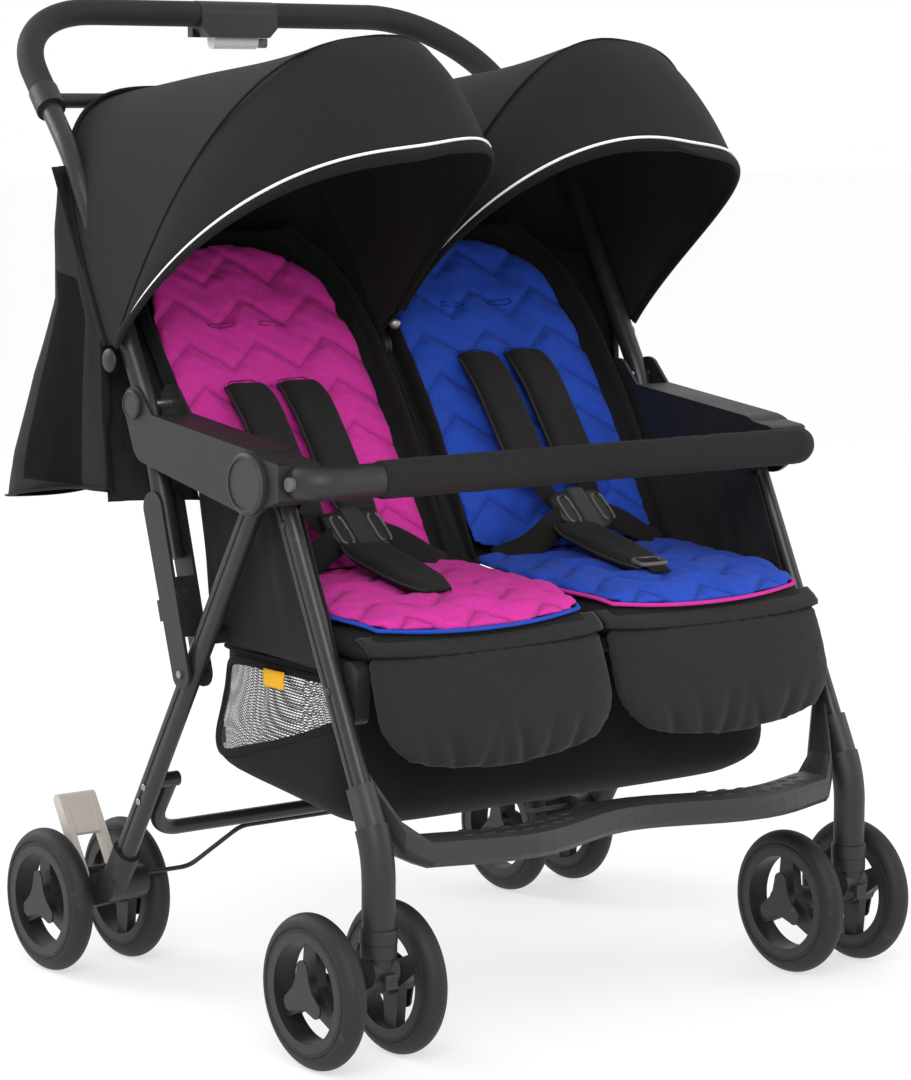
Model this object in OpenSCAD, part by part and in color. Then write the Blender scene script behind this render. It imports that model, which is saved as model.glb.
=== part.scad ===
// Side by side double stroller: folding frame, double wheels, two padded seats, two hoods and a basket.
// The front is -Y, the left is -X and the floor is at Z = 0. All sizes are in millimetres.

/* [Overall] */
// Length from the front tyres to the back of the handle
overall_length = 755; // [735:1:785]
// Width over the outer tyres
overall_width = 755; // [740:1:785]
// Height of the centre of the handle bar
handle_z = 1027; // [1000:1:1055]
// Distance between the front and the rear axles
wheelbase = 490; // [475:1:505]

/* [Wheels] */
// Diameter over the tyre
wheel_d = 154; // [146:1:158]
// Width of a tyre
wheel_w = 26; // [24:0.5:28]
// Diameter of the rim under the tyre
rim_d = 118; // [112:1:122]
// Diameter of the wheel's hub
wheel_hub_d = 32; // [28:1:36]
// Number of spokes in a wheel
spoke_count = 3; // [3:1:5]
// Distance between the two wheels of a pair
wheel_spacing = 97; // [94:1:100]
// Diameter of the axles
axle_d = 8; // [6:0.5:9]
// Distance from a caster's swivel axis to its axle
caster_trail = 39; // [34:1:43]

/* [Legs and tubes] */
// Width of an oval leg tube across the stroller
leg_w = 16; // [14:0.5:17]
// Depth of an oval leg tube along the stroller
leg_d = 26; // [24:0.5:28]
// Diameter of the push bar tube
tube_d = 22; // [20:0.5:23]
// Diameter of the seat rails
rail_d = 18; // [15:0.5:19]
// Diameter of the rear cross tube and of the handle brace
brace_d = 16; // [13:0.5:18]
// Apex pivot, along the stroller
apex_y = -175; // [-182:1:-168]
// Apex pivot, height
apex_z = 558; // [548:1:568]
// Corner where the front leg turns down to its caster, height
shoe_corner_z = 212; // [206:1:218]

/* [Armrest and push bar] */
// Armrest pivot of the push bar, distance behind the apex
armrest_reach = 208; // [200:1:216]
// Armrest pivot of the push bar, height over the apex
armrest_rise = 63; // [58:1:68]
// Bend of the push bar, distance behind its armrest pivot
push_back = 138; // [130:1:146]
// Bend of the push bar, height over its armrest pivot
push_up = 247; // [238:1:256]
// Diameter of the foam grip
grip_d = 29; // [27:0.5:31]
// Bend radius of the handle's corners
handle_bend_r = 125; // [110:1:135]
// Distance from the middle to the handle's corners
handle_x = 297; // [290:1:305]
// Width of the release housing on the handle
housing_w = 104; // [96:1:112]
// Diameter of the apex end of the armrest
armrest_apex_d = 66; // [62:1:68]
// Wall of the armrest shell
armrest_wall = 4; // [3:0.5:4.5]

/* [Bumper bar] */
// Distance of the bumper bar in front of the apex
bumper_reach = 77; // [72:1:82]
// Diameter of the bar's end mouldings
bumper_end_d = 34; // [32:0.5:35]
// Diameter of the bar's core
bumper_core_d = 24; // [22:0.5:26]
// Diameter over the bar's fabric sleeve
bumper_cover_d = 37; // [35:0.5:39]
// Length of the bar's fabric sleeve
bumper_cover_l = 500; // [480:1:520]

/* [Seats] */
// Distance from the middle to the centre of a seat
seat_x = 152; // [150:1:154]
// Width of a seat pad
seat_w = 276; // [268:1:280]
// Width of a backrest pad
back_w = 264; // [256:1:268]
// Distance from the middle to the centre of a backrest
back_x = 157; // [155:1:159]
// Length of a seat pad from front to back
seat_l = 224; // [216:1:230]
// Thickness of a seat pad
seat_t = 30; // [26:1:32]
// Length of a backrest pad
back_l = 412; // [400:1:420]
// Thickness of a backrest pad
back_t = 34; // [30:1:36]
// Lean of the backrests from upright
back_lean = 33; // [30:1:36]
// Length of a calf rest
calf_l = 114; // [106:1:120]
// Width of a calf rest
calf_w = 282; // [274:1:286]
// Thickness of a calf rest
calf_t = 24; // [20:1:26]

/* [Hoods] */
// Half the width of a hood
hood_half_w = 174; // [172:0.5:175]
// Height of the middle bow over the hood's pivot
hood_mid_r = 367; // [360:1:374]
// Height of the front bow over the hood's pivot
hood_front_r = 414; // [404:1:422]
// Height of the rear edge over the hood's pivot
hood_rear_r = 318; // [305:1:325]
// Thickness of the hood cloth
hood_t = 2.4; // [1.8:0.2:3]
// Angle of the front bow from upright
hood_front_a = 29; // [27:1:31]
// Angle by which the middle of the front bow reaches further forward
hood_visor_a = 33; // [30:1:35]
// Angle of the middle bow from upright
hood_mid_a = 31; // [28:1:33]
// Angle of the rear edge from upright
hood_rear_a = -29; // [-31:1:-27]

/* [Basket] */
// Width of the basket at its rim
basket_w = 552; // [540:1:558]
// Length of the basket at its rim
basket_l = 255; // [244:1:262]
// Depth of the basket
basket_h = 148; // [140:1:152]
// Thickness of the basket cloth
basket_t = 2.4; // [1.8:0.2:3]

/* [Hidden] */

$fn = 64;
// Fits and clearances
run_fit = 0.05;
seat_fit = 0.15;
clear = 0.5;
overrun = 20;
// Overlap of joined pieces
lap = 0.1;
bend_lap = 1;

// Sizes across the seats, which follow the overall width
nominal_width = 755;
width_share = overall_width / nominal_width;
handle_half = width_share * handle_x;
seat_mid_x = width_share * seat_x;
seat_wide = width_share * seat_w;
back_mid_x = width_share * back_x;
back_wide = width_share * back_w;
calf_wide = width_share * calf_w;
hood_half = width_share * hood_half_w;
basket_wide = width_share * basket_w;

// Wheels and axles
hub_over = 2;
wheel_hub_l = wheel_w + 2 * hub_over;
axle_z = wheel_d / 2;
front_axle_y = wheel_d / 2 - overall_length / 2;
rear_axle_y = front_axle_y + wheelbase;
pair_x = (overall_width - wheel_hub_l - wheel_spacing) / 2;
swivel_y = front_axle_y - caster_trail;
rim_lip = 9;
spoke_w = 17;
spoke_t = 11;
cap_t = 2;
cap_root = wheel_hub_d - 2 * hub_over;
cap_reach = (wheel_hub_d + spoke_w) / 2;
tyre_groove = 1.2;
axle_l = wheel_spacing + wheel_w - 2 * cap_t;
hub_half = wheel_spacing / 2 - wheel_hub_l / 2 - clear;

// Points of the side frame, as [along, height]
apex = [apex_y, apex_z];
leg_gap = 3;
rear_x = pair_x + leg_w + leg_gap;
hub_reach = 84;
hub_rise = 28;
rear_foot = [rear_axle_y - hub_reach, axle_z + hub_rise];
shoe_corner = [swivel_y, shoe_corner_z];
rear_pivot = apex + [armrest_reach, armrest_rise];
link_share = 0.455;
knee_share = 0.55;
link_pivot = apex + link_share * (rear_foot - apex);
knee = link_pivot + knee_share * (rear_pivot - link_pivot);
push_bend = rear_pivot + [push_back, push_up];
handle_y = overall_length / 2 - grip_d / 2;
handle_end = [handle_y, handle_z];
collar_share = 0.385;
collar_l = 30;
collar_wall = 5;

// Pins and rivets
pin_d = 10;
small_pin_d = 8;
rivet_t = 2.5;
groove_w = 4;
groove_h = 1;

// Armrest
armrest_gap = 1.5;
armrest_in = pair_x - leg_w / 2 - armrest_gap;
armrest_out = rear_x + tube_d / 2 + armrest_gap;
elbow_r = 26;
elbow_drop = [-21, -33];
elbow = rear_pivot + elbow_drop;
horn_r = 19;
nose_r = 20;
nose_l = 40;
nose = apex + [-nose_l, armrest_wall];
horn_open = 14;
cap_d = armrest_apex_d - armrest_wall;
cap_h = 8;
cap_dish = 3;
small_cap_d = 30;
small_cap_h = 5;

// Bumper bar
bumper_y = apex_y - bumper_reach;
bumper_z = nose[1];
bumper_x = (armrest_in + armrest_out) / 2;
bumper_bend_r = 24;
tongue_w = 14;
tongue_h = 16;
tongue_l = 18;
button_d = 14;
button_out = 2.5;
button_l = 8;

// Lock link
link_play = 0.4;
link_gap = tube_d / 2 + link_play;
link_wall = 3.5;
link_foot_r = 15;
link_head_r = 17;
link_over = 18;
link_web_from = 36;
link_web_l = 62;
hook_l = 22;
hook_d = 9;
push_tail = 36;

// Front shoe and footrest
shoe_d = 33;
shoe_ring_d = 37;
shoe_bend_r = 120;
shoe_top_l = 24;
collar_z = 126;
stem_d = 14;
stem_l = 25;
sleeve_wall = 3.5;
sleeve_l = 44;
foot_z = 208;
foot_h = 30;
foot_depth = 54;
foot_bow = 36;
foot_set_back = 5;
foot_lift = 62;
foot_lift_share = 0.86;
foot_steps = 28;
foot_sides = 12;
foot_corner_share = 0.6;
foot_end_h = 45;

// Caster and rear hub
fork_w = 30;
fork_top = 13;
fork_r = 15;
flange_d = 36;
boss_d = 24;
lock_w = 14;
lock_h = 14;
lock_t = 6;
lock_ribs = 3;
hub_r = 17;
hub_wall = 4;
hub_sleeve_l = 46;
hub_web_w = 30;

// Brake
pedal_back = 4;
pedal_rise = 10;
pedal_reach = 8;
pedal_over = 6;
pedal_pivot = [rear_axle_y - hub_r - pedal_back, axle_z + hub_r + pedal_rise];
pedal_tip = [rear_axle_y + hub_r + pedal_reach, axle_z + wheel_d / 2 + hub_r + pedal_over];
cheek_share = 0.55;
pedal_w = 46;
pedal_t = 7;
pedal_boss_d = 15;
arm_l = 28;
cable_d = 5;
cable_drop = 14;
cable_rise = 5;

// Seat frame and pads
plate_t = 8;
rail_side_d = 18.6;
rail_x = pair_x - leg_w / 2 - rail_d / 2 - plate_t;
seat_front = [-280, 378];
seat_rear = [-62, 391];
plate_gap = 0.5;
plate_r = 13;
plate_l = 40;
plate_low_r = 10.4;
seat_seat = 12;
seat_tilt = atan2(seat_rear[1] - seat_front[1], seat_rear[0] - seat_front[0]);
seat_mid = (seat_front + seat_rear) / 2 + [0, rail_d / 2 + seat_seat];
seat_overhang = 10;
base_in = 2;
base_w = seat_wide - base_in;
base_front = 84;
base_l = 184;
edge_share = 0.34;
channel_d = 1.6;
chevron = 9;
chevrons = 3;
pad_rows = 16;
back_rows = 26;
pad_cols = 4 * chevrons;
back_foot = [-72, 428];
back_gap = 16;
back_strap_l = 36;
calf_tilt = 18;
calf_rise = 4;
calf_front = rail_d / 2 + calf_t / 2 + 2 * clear;
calf_strap_w = 26;
calf_strap_t = 4;
calf_rows = 10;

// Harness
buckle_w = 46;
buckle_l = 52;
buckle_t = 14;
buckle_y = -84;
buckle_z = 484;
buckle_lean = 42;
crotch_w = 38;
crotch_l = 34;
crotch_t = 5;
release_w = 20;
release_l = 22;
release_t = 4;
release_out = 1.5;
belt_w = 44;
belt_t = 10;
belt_l = 170;
belt_x = 44;
belt_share = 0.46;
belt_round_share = 0.5;
belt_rows = 8;
belt_cols = 6;

// Hood
hood_middle_gap = 2.5;
hood_x = hood_half + hood_middle_gap;
hood_offset = [42, 43];
hood_pivot = rear_pivot + hood_offset;
hood_front_steps = 4;
hood_rear_steps = 6;
hood_bulge = 10;
hood_inner_offset = [-21.5, 27.5];
hood_visor_power = 0.58;
hood_front = [hood_front_a, hood_front_r, hood_visor_a, 2.62, 1];
hood_rear = [hood_rear_a, hood_rear_r, 0, 3.2, 0];
hood_foot_a = 3;
hood_steps = 20;
hood_joint_a = 0.12;
hood_mid_fore = [hood_mid_a + hood_joint_a, hood_mid_r, 0, 2.6, 1];
hood_mid_aft = [hood_mid_a - hood_joint_a, hood_mid_r, 0, 2.6, 1];
hood_cut = 0.3;
drape_in = 8;
drape_t = 2;
drape_top = 222;
drape_low = 36;
drape_drop = [[5, 0], [22, -62], [34, -132], [74, -212], [110, -322], [112, -352]];
drape_front = [-100, -336];

// Basket
basket_mid_y = -124.5;
basket_rim_z = 370;
basket_inset = 22;
basket_corner_share = 0.75;
basket_steps = 32;
side_t = 1.6;
side_elbow_drop = 4;
side_rear_in = [40, 80];
side_x = rail_x + rail_d / 2 + hood_cut;

// Handle housing
housing_drop = 26;
housing_half = 15;
trigger_w = 60;
trigger_d = 16;
trigger_h = 15;
trigger_in = 2;
trigger_travel = 8;
slider_w = 9;
slider_gap = 6;
slider_h = 11;

// Helpers: placing
function at(x, q) = [x, q[0], q[1]];
function unit(v) = v / norm(v);
function tilt(a, b) = atan2(a[0] - b[0], b[1] - a[1]);
function on(a, b, d) = a + d * unit(b - a);
function mix(a, b, t) = a + (b - a) * t;
function power_of(v, p) = sign(v) * pow(abs(v), p);

module both() {
  children();
  mirror([1, 0, 0]) children();
}

module to_left() {
  mirror([1, 0, 0]) children();
}

// Extrudes a profile drawn as [along, height] from x0 to x1
module slab(x0, x1) {
  translate([x0, 0, 0]) rotate([90, 0, 90]) linear_extrude(x1 - x0) children();
}

// Places children with Z from a towards b in the side plane at x
module along(a, b, x) {
  translate(at(x, a)) rotate([tilt(a, b), 0, 0]) children();
}

// Cylinder across the stroller through side point q
module cross_rod(q, x0, x1, d) {
  translate(at(x0, q)) rotate([0, 90, 0]) cylinder(d = d, h = x1 - x0);
}

module rod(a, b, d) {
  v = b - a;
  translate(a) rotate([0, acos(v[2] / norm(v)), atan2(v[1], v[0])]) cylinder(d = d, h = norm(v));
}

// Round tube through points p, with each inner corner rolled to its radius in r
module bent_tube(p, r, d) {
  last = len(p) - 1;
  cut = [for (i = [0:last]) i == 0 || i == last ? 0 :
    r[i] * tan((180 - acos(unit(p[i - 1] - p[i]) * unit(p[i + 1] - p[i]))) / 2)];
  for (i = [0:last - 1]) {
    rod(on(p[i], p[i + 1], max(0, cut[i] - bend_lap)), on(p[i + 1], p[i], max(0, cut[i + 1] - bend_lap)), d);
  }
  for (i = [1:1:last - 1]) {
    first = on(p[i], p[i - 1], cut[i]);
    second = on(p[i], p[i + 1], cut[i]);
    toward = unit((first + second) / 2 - p[i]);
    centre = p[i] + toward * norm([r[i], cut[i]]);
    ex = unit(first - centre);
    ez = unit(cross(ex, second - centre));
    ey = cross(ez, ex);
    multmatrix([[ex[0], ey[0], ez[0], centre[0]], [ex[1], ey[1], ez[1], centre[1]],
                [ex[2], ey[2], ez[2], centre[2]], [0, 0, 0, 1]])
      rotate_extrude(angle = acos(ex * unit(second - centre))) translate([r[i], 0]) circle(d = d + 2 * lap);
  }
}

// Flat shape: two round ends joined by their tangents
module link_shape(a, ra, b, rb) {
  turn = atan2(b[1] - a[1], b[0] - a[0]);
  lean = acos((ra - rb) / norm(b - a));
  up = [cos(turn + lean), sin(turn + lean)];
  down = [cos(turn - lean), sin(turn - lean)];
  translate(a) circle(r = ra);
  translate(b) circle(r = rb);
  polygon([a + (ra - lap) * up, b + (rb - lap) * up, b + (rb - lap) * down, a + (ra - lap) * down]);
}

module oval(w, d) {
  square([w - 2 * lap, d - w], center = true);
  for (s = [-1, 1]) translate([0, s * (d - w) / 2]) circle(d = w);
}

// Closed skin over a row of rings, each with the same even count of points
module loft(rings) {
  n = len(rings[0]);
  m = len(rings);
  sides = [for (j = [0:m - 2], i = [0:n - 1]) each
    [[j * n + i, (j + 1) * n + i, j * n + (i + 1) % n],
     [j * n + (i + 1) % n, (j + 1) * n + i, (j + 1) * n + (i + 1) % n]]];
  low = [for (i = [0:n / 2 - 2]) each [[i, i + 1, n - 1 - i], [i + 1, n - 2 - i, n - 1 - i]]];
  high = [for (f = low) [f[0], f[2], f[1]] + (m - 1) * n * [1, 1, 1]];
  polyhedron([for (r = rings) each r], concat(sides, low, high));
}

// Wheels
module tyre_profile() {
  difference() {
    intersection() {
      union() {
        translate([(wheel_d - wheel_w) / 2, 0]) circle(d = wheel_w);
        translate([0, lap - wheel_w / 2]) square([(wheel_d - wheel_w) / 2, wheel_w - 2 * lap]);
      }
      translate([rim_d / 2 + seat_fit, -wheel_w]) square([wheel_d, 2 * wheel_w]);
    }
    for (s = [-1, 1]) translate([rim_d / 2 + rim_lip / 2, s * wheel_w / 2]) circle(r = tyre_groove);
  }
}

module rim_shape() {
  difference() {
    union() {
      rotate_extrude() translate([rim_d / 2 - rim_lip, -wheel_w / 2]) square([rim_lip, wheel_w]);
      translate([0, 0, -wheel_hub_l / 2]) cylinder(d = wheel_hub_d, h = wheel_hub_l);
      for (i = [0:spoke_count - 1]) rotate(i * 360 / spoke_count) {
        translate([0, 0, -spoke_t / 2]) linear_extrude(spoke_t)
          polygon([[0, -cap_root / 2], [rim_d / 2 - rim_lip / 2, -spoke_w / 2],
                   [rim_d / 2 - rim_lip / 2, spoke_w / 2], [0, cap_root / 2]]);
        translate([0, 0, wheel_hub_l / 2 - cap_t]) linear_extrude(cap_t) {
          polygon([[0, -cap_root / 2], [cap_reach, lap - spoke_w / 2],
                   [cap_reach, spoke_w / 2 - lap], [0, cap_root / 2]]);
          translate([cap_reach, 0]) circle(d = spoke_w);
        }
      }
    }
    translate([0, 0, -wheel_hub_l / 2 - overrun])
      cylinder(d = axle_d + 2 * run_fit, h = wheel_hub_l + overrun - cap_t);
  }
}

// A wheel on a cross axle: out is 1 where its cap looks to +X and -1 where it looks to -X
module wheel(x, y, out) {
  translate([x, y, axle_z]) rotate([0, 90 * out, 0]) {
    color("#1c1c1d") rotate_extrude() tyre_profile();
    color("#262627") rim_shape();
  }
}

module rear_wheel_left_outer() { wheel(-pair_x - wheel_spacing / 2, rear_axle_y, -1); }
module rear_wheel_left_inner() { wheel(-pair_x + wheel_spacing / 2, rear_axle_y, 1); }
module rear_wheel_right_inner() { wheel(pair_x - wheel_spacing / 2, rear_axle_y, -1); }
module rear_wheel_right_outer() { wheel(pair_x + wheel_spacing / 2, rear_axle_y, 1); }
module front_wheel_left_outer() { wheel(-pair_x - wheel_spacing / 2, front_axle_y, -1); }
module front_wheel_left_inner() { wheel(-pair_x + wheel_spacing / 2, front_axle_y, 1); }
module front_wheel_right_inner() { wheel(pair_x - wheel_spacing / 2, front_axle_y, -1); }
module front_wheel_right_outer() { wheel(pair_x + wheel_spacing / 2, front_axle_y, 1); }

// Rear frame
module leg(foot, x, out) {
  difference() {
    along(on(apex, foot, -leg_d / 2), foot, x) linear_extrude(norm(foot - apex) + leg_d / 2)
      oval(leg_w, leg_d);
    cross_rod(apex, x - leg_w, x + leg_w, pin_d + 2 * run_fit);
    along(apex, foot, x) translate([out * leg_w / 2, 0, leg_d]) linear_extrude(norm(foot - apex))
      square([2 * groove_h, groove_w], center = true);
  }
}

module rear_leg() {
  color("#3a3938") difference() {
    leg(rear_foot, rear_x, 1);
    cross_rod(link_pivot, rear_x - leg_w, rear_x + leg_w, small_pin_d + 2 * run_fit);
  }
}

module rear_leg_right() { rear_leg(); }
module rear_leg_left() { to_left() rear_leg(); }

rear_brace_share = 0.73;
rear_brace = mix(apex, rear_foot, rear_brace_share);
rear_brace_x = 310;
rear_brace_drop = [42, -62];
rear_brace_low = rear_brace + rear_brace_drop;
rear_brace_r = 34;

module rear_cross_tube() {
  x = rear_brace_x;
  color("#2b2b2b") {
    bent_tube([at(-x, rear_brace), at(-x, rear_brace_low), at(x, rear_brace_low), at(x, rear_brace)],
              [0, rear_brace_r, rear_brace_r, 0], brace_d);
    both() cross_rod(rear_brace, x - brace_d / 2, rear_x - leg_w / 2, brace_d);
  }
}

module rear_hubs() {
  color("#1f1f20") both() difference() {
    union() {
      cross_rod([rear_axle_y, axle_z], pair_x - hub_half, pair_x + hub_half, boss_d);
      slab(pair_x - hub_web_w / 2, pair_x + hub_web_w / 2)
        link_shape([rear_axle_y, axle_z], hub_r, rear_foot, hub_r);
      cross_rod(rear_foot, pair_x, rear_x + leg_w / 2 + hub_wall, 2 * hub_r + 2 * clear);
      along(rear_foot, apex, rear_x) linear_extrude(hub_sleeve_l)
        oval(leg_w + 2 * hub_wall, leg_d + 2 * hub_wall);
      cross_rod(pedal_pivot, pair_x - hub_web_w / 2, pair_x + hub_web_w / 2, pedal_boss_d);
    }
    along(rear_foot, apex, rear_x) linear_extrude(hub_sleeve_l + overrun)
      oval(leg_w + 2 * seat_fit, leg_d + 2 * seat_fit);
    cross_rod([rear_axle_y, axle_z], pair_x - hub_half - overrun, pair_x + hub_half + overrun,
              axle_d + 2 * run_fit);
    cross_rod(pedal_pivot, pair_x - pedal_w, pair_x + pedal_w, small_pin_d + 2 * run_fit);
  }
}

module rear_axles() {
  color("#9a9a9a") both() {
    cross_rod([rear_axle_y, axle_z], pair_x - axle_l / 2, pair_x + axle_l / 2, axle_d);
    cross_rod(pedal_pivot, pair_x - pedal_w / 2 - pedal_t, pair_x + pedal_w / 2 + pedal_t, small_pin_d);
  }
}

cable_in = pair_x - hub_web_w / 2 - clear;
cable_q = rear_foot + [cable_rise, cable_rise];
cable_low = rear_brace_low + [brace_d, -cable_drop];
cable_bend_r = 26;
cable_x = 235;

module brake_cable() {
  color("#161616")
    bent_tube([at(-cable_in, cable_q), at(-cable_x, cable_q), at(-cable_x + cable_bend_r * 2, cable_low),
               at(cable_x - cable_bend_r * 2, cable_low), at(cable_x, cable_q), at(cable_in, cable_q)],
              [0, cable_bend_r, cable_bend_r, cable_bend_r, cable_bend_r, 0], cable_d);
}

module frame_rivets() {
  color("#8d8b88") both() {
    cross_rod(link_pivot, rear_x - link_gap - link_wall, rear_x + link_gap + link_wall + rivet_t,
              small_pin_d);
  }
}

// Brake
module brake_cheeks(tip, w) {
  half = w / 2;
  difference() {
    union() {
      for (x = [pair_x - half, pair_x + half - pedal_t]) slab(x, x + pedal_t)
        link_shape(pedal_pivot, pedal_boss_d / 2, tip, pedal_t);
      slab(pair_x - half, pair_x + half)
        link_shape(mix(pedal_pivot, tip, cheek_share), pedal_t / 2, tip, pedal_t);
    }
    cross_rod(pedal_pivot, pair_x - w, pair_x + w, small_pin_d + 2 * run_fit);
  }
}

module brake_pedal() {
  color("#bdb6ae") to_left() brake_cheeks(pedal_tip, pedal_w);
}

module brake_arm() {
  color("#2a2a2b") brake_cheeks(pedal_pivot + [arm_l, arm_l], pedal_w);
}

// Front frame
front_foot = shoe_corner;

module front_leg() {
  color("#3a3938") leg(front_foot, pair_x, 1);
}

module front_leg_right() { front_leg(); }
module front_leg_left() { to_left() front_leg(); }

module shoe_path(d) {
  top = on(shoe_corner, apex, shoe_top_l);
  bent_tube([at(pair_x, top), at(pair_x, shoe_corner), [pair_x, swivel_y, collar_z]], [0, shoe_bend_r, 0], d);
}

module front_shoes() {
  color("#242425") both() difference() {
    union() {
      shoe_path(shoe_d);
      translate([pair_x, swivel_y, collar_z]) cylinder(d = shoe_ring_d, h = stem_d);
    }
    along(front_foot, apex, pair_x) linear_extrude(shoe_top_l + overrun)
      oval(leg_w + 2 * seat_fit, leg_d + 2 * seat_fit);
    translate([pair_x, swivel_y, collar_z - overrun])
      cylinder(d = stem_d + 2 * run_fit, h = overrun + stem_l + clear);
  }
}

// Footrest: a wavy bar whose ends sweep up into sleeves on the front legs
foot_end = on(shoe_corner, apex, shoe_top_l + clear);
foot_end_y = foot_end[0];
foot_half = pair_x - leg_w / 2;

function foot_mid(s) =
  let (a = abs(s), up = max(0, (a - foot_lift_share) / (1 - foot_lift_share)))
  [s * foot_half, foot_end_y - foot_bow * (1 - cos(360 * a)) / 2 + foot_set_back * pow(cos(90 * a), 2)
     + foot_lift * up * up * tan(tilt(foot_end, apex)) * -1, foot_z + foot_lift * up * up];

function foot_ring(s) =
  let (c = foot_mid(s), up = max(0, (abs(s) - foot_lift_share) / (1 - foot_lift_share)),
       deep = mix(foot_depth, leg_d, up), high = mix(foot_h, foot_end_h, up))
  [for (k = [0:foot_sides - 1]) let (a = 360 * (k + 0.5) / foot_sides)
    c + [0, -deep / 2 * power_of(cos(a), foot_corner_share), high / 2 * power_of(sin(a), foot_corner_share)]];

module footrest() {
  color("#2e2d2d") difference() {
    union() {
      loft([for (k = [0:foot_steps]) foot_ring(1 - 2 * k / foot_steps)]);
      both() along(foot_end, apex, pair_x) linear_extrude(sleeve_l)
        oval(leg_w + 2 * sleeve_wall, leg_d + 2 * sleeve_wall);
    }
    both() {
      along(front_foot, apex, pair_x) linear_extrude(shoe_top_l + sleeve_l + overrun)
        oval(leg_w + 2 * seat_fit, leg_d + 2 * seat_fit);
      shoe_path(shoe_d + 2 * clear);
    }
  }
}

// Casters
module caster() {
  color("#232324") difference() {
    union() {
      translate([pair_x, swivel_y, collar_z - clear - fork_top]) cylinder(d = flange_d, h = fork_top);
      translate([pair_x, swivel_y, collar_z - clear - fork_top])
        cylinder(d = stem_d, h = fork_top + clear + stem_l);
      slab(pair_x - fork_w / 2, pair_x + fork_w / 2)
        link_shape([swivel_y, collar_z - fork_top - fork_r], fork_r, [front_axle_y, axle_z], fork_r);
      translate([pair_x, swivel_y, collar_z - fork_top - fork_r]) cylinder(r = fork_r, h = fork_r);
      cross_rod([front_axle_y, axle_z], pair_x - hub_half, pair_x + hub_half, boss_d);
    }
    cross_rod([front_axle_y, axle_z], pair_x - hub_half - overrun, pair_x + hub_half + overrun,
              axle_d + 2 * run_fit);
  }
  color("#9a9a9a") cross_rod([front_axle_y, axle_z], pair_x - axle_l / 2, pair_x + axle_l / 2, axle_d);
}

module caster_right() { caster(); }
module caster_left() { to_left() caster(); }

lock_z = collar_z - fork_top - fork_r - lock_h;

module caster_lock() {
  color("#4a4a4b") translate([pair_x - lock_w / 2, swivel_y - fork_r - lock_t - clear, lock_z])
    difference() {
      cube([lock_w, lock_t, lock_h]);
      for (k = [1:lock_ribs]) translate([-overrun, 0, k * lock_h / (lock_ribs + 1)]) rotate([0, 90, 0])
        cylinder(r = groove_h, h = lock_w + 2 * overrun);
    }
}

module caster_lock_right() { caster_lock(); }
module caster_lock_left() { to_left() caster_lock(); }

// Armrest: a shell open below, with a raised horn for the push bar and a nose for the bumper bar
module armrest_block() {
  low = armrest_in - armrest_wall;
  high = armrest_out + armrest_wall;
  slab(low, high) link_shape(apex, armrest_apex_d / 2, elbow, elbow_r);
  slab(low, high) link_shape(elbow, elbow_r - lap, rear_pivot, horn_r);
  slab(low, high) link_shape(apex, armrest_apex_d / 2 - armrest_wall, nose, nose_r);
}

module armrest_hollow() {
  w = armrest_wall;
  r = armrest_apex_d / 2 - w;
  slab(armrest_in, armrest_out) link_shape(apex, r, elbow, elbow_r - w);
  slab(armrest_in, armrest_out) polygon([apex - [r - lap, 0], apex - [r - lap, 2 * r],
    elbow + [elbow_r + overrun, -2 * r], elbow + [elbow_r + overrun, 0]]);
  slab(armrest_in, armrest_out) polygon([elbow - [horn_open, 2 * r], elbow + [elbow_r + overrun, -2 * r],
    elbow + [elbow_r + overrun, 2 * r], elbow + [-horn_open, 2 * r]]);
}

module armrest() {
  color("#252526") difference() {
    armrest_block();
    armrest_hollow();
    cross_rod(apex, armrest_in - overrun, armrest_out + overrun, pin_d + 2 * run_fit);
    cross_rod(rear_pivot, armrest_in - overrun, armrest_out + overrun, small_pin_d + 2 * run_fit);
    translate([armrest_in - overrun, nose[0] - nose_r - overrun, nose[1] - 2 * nose_r])
      cube([armrest_out - armrest_in + 2 * overrun, overrun + nose_r / 2, 4 * nose_r]);
    translate([bumper_x - tongue_w / 2 - clear, nose[0] - nose_r, nose[1] - tongue_h / 2 - clear])
      cube([tongue_w + 2 * clear, nose_r / 2 + tongue_l + clear, tongue_h + 2 * clear]);
  }
}

module armrest_right() { armrest(); }
module armrest_left() { to_left() armrest(); }

module fold_pins() {
  color("#8d8b88") both() {
    cross_rod(apex, armrest_in - armrest_wall, armrest_out + armrest_wall, pin_d);
    cross_rod(rear_pivot, armrest_in - armrest_wall, armrest_out + armrest_wall, small_pin_d);
  }
}

module pivot_cap(q, d, h, dish) {
  translate(at(armrest_out + armrest_wall, q)) rotate([0, 90, 0]) difference() {
    rotate_extrude() polygon([[0, 0], [d / 2, 0], [d / 2, h - dish], [d / 2 - dish, h], [0, h]]);
    translate([0, 0, h - dish / 2]) cylinder(d = d - 4 * dish, h = overrun);
  }
}

module pivot_caps() {
  color("#2c2c2d") both() {
    pivot_cap(apex, cap_d, cap_h, cap_dish);
    pivot_cap(rear_pivot, small_cap_d, small_cap_h, cap_dish / 2);
  }
}

// Bumper bar
bumper_tail = [nose[0] - nose_r / 2 - clear, nose[1]];
bumper_line = [at(-bumper_x, bumper_tail), [-bumper_x, bumper_y, bumper_z],
  [bumper_x, bumper_y, bumper_z], at(bumper_x, bumper_tail)];
bumper_bends = [0, bumper_bend_r, bumper_bend_r, 0];
button_at = [bumper_x + bumper_end_d / 2 - button_l, (bumper_tail[0] + bumper_y) / 2 + button_d / 3,
  (bumper_tail[1] + bumper_z) / 2];

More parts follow.
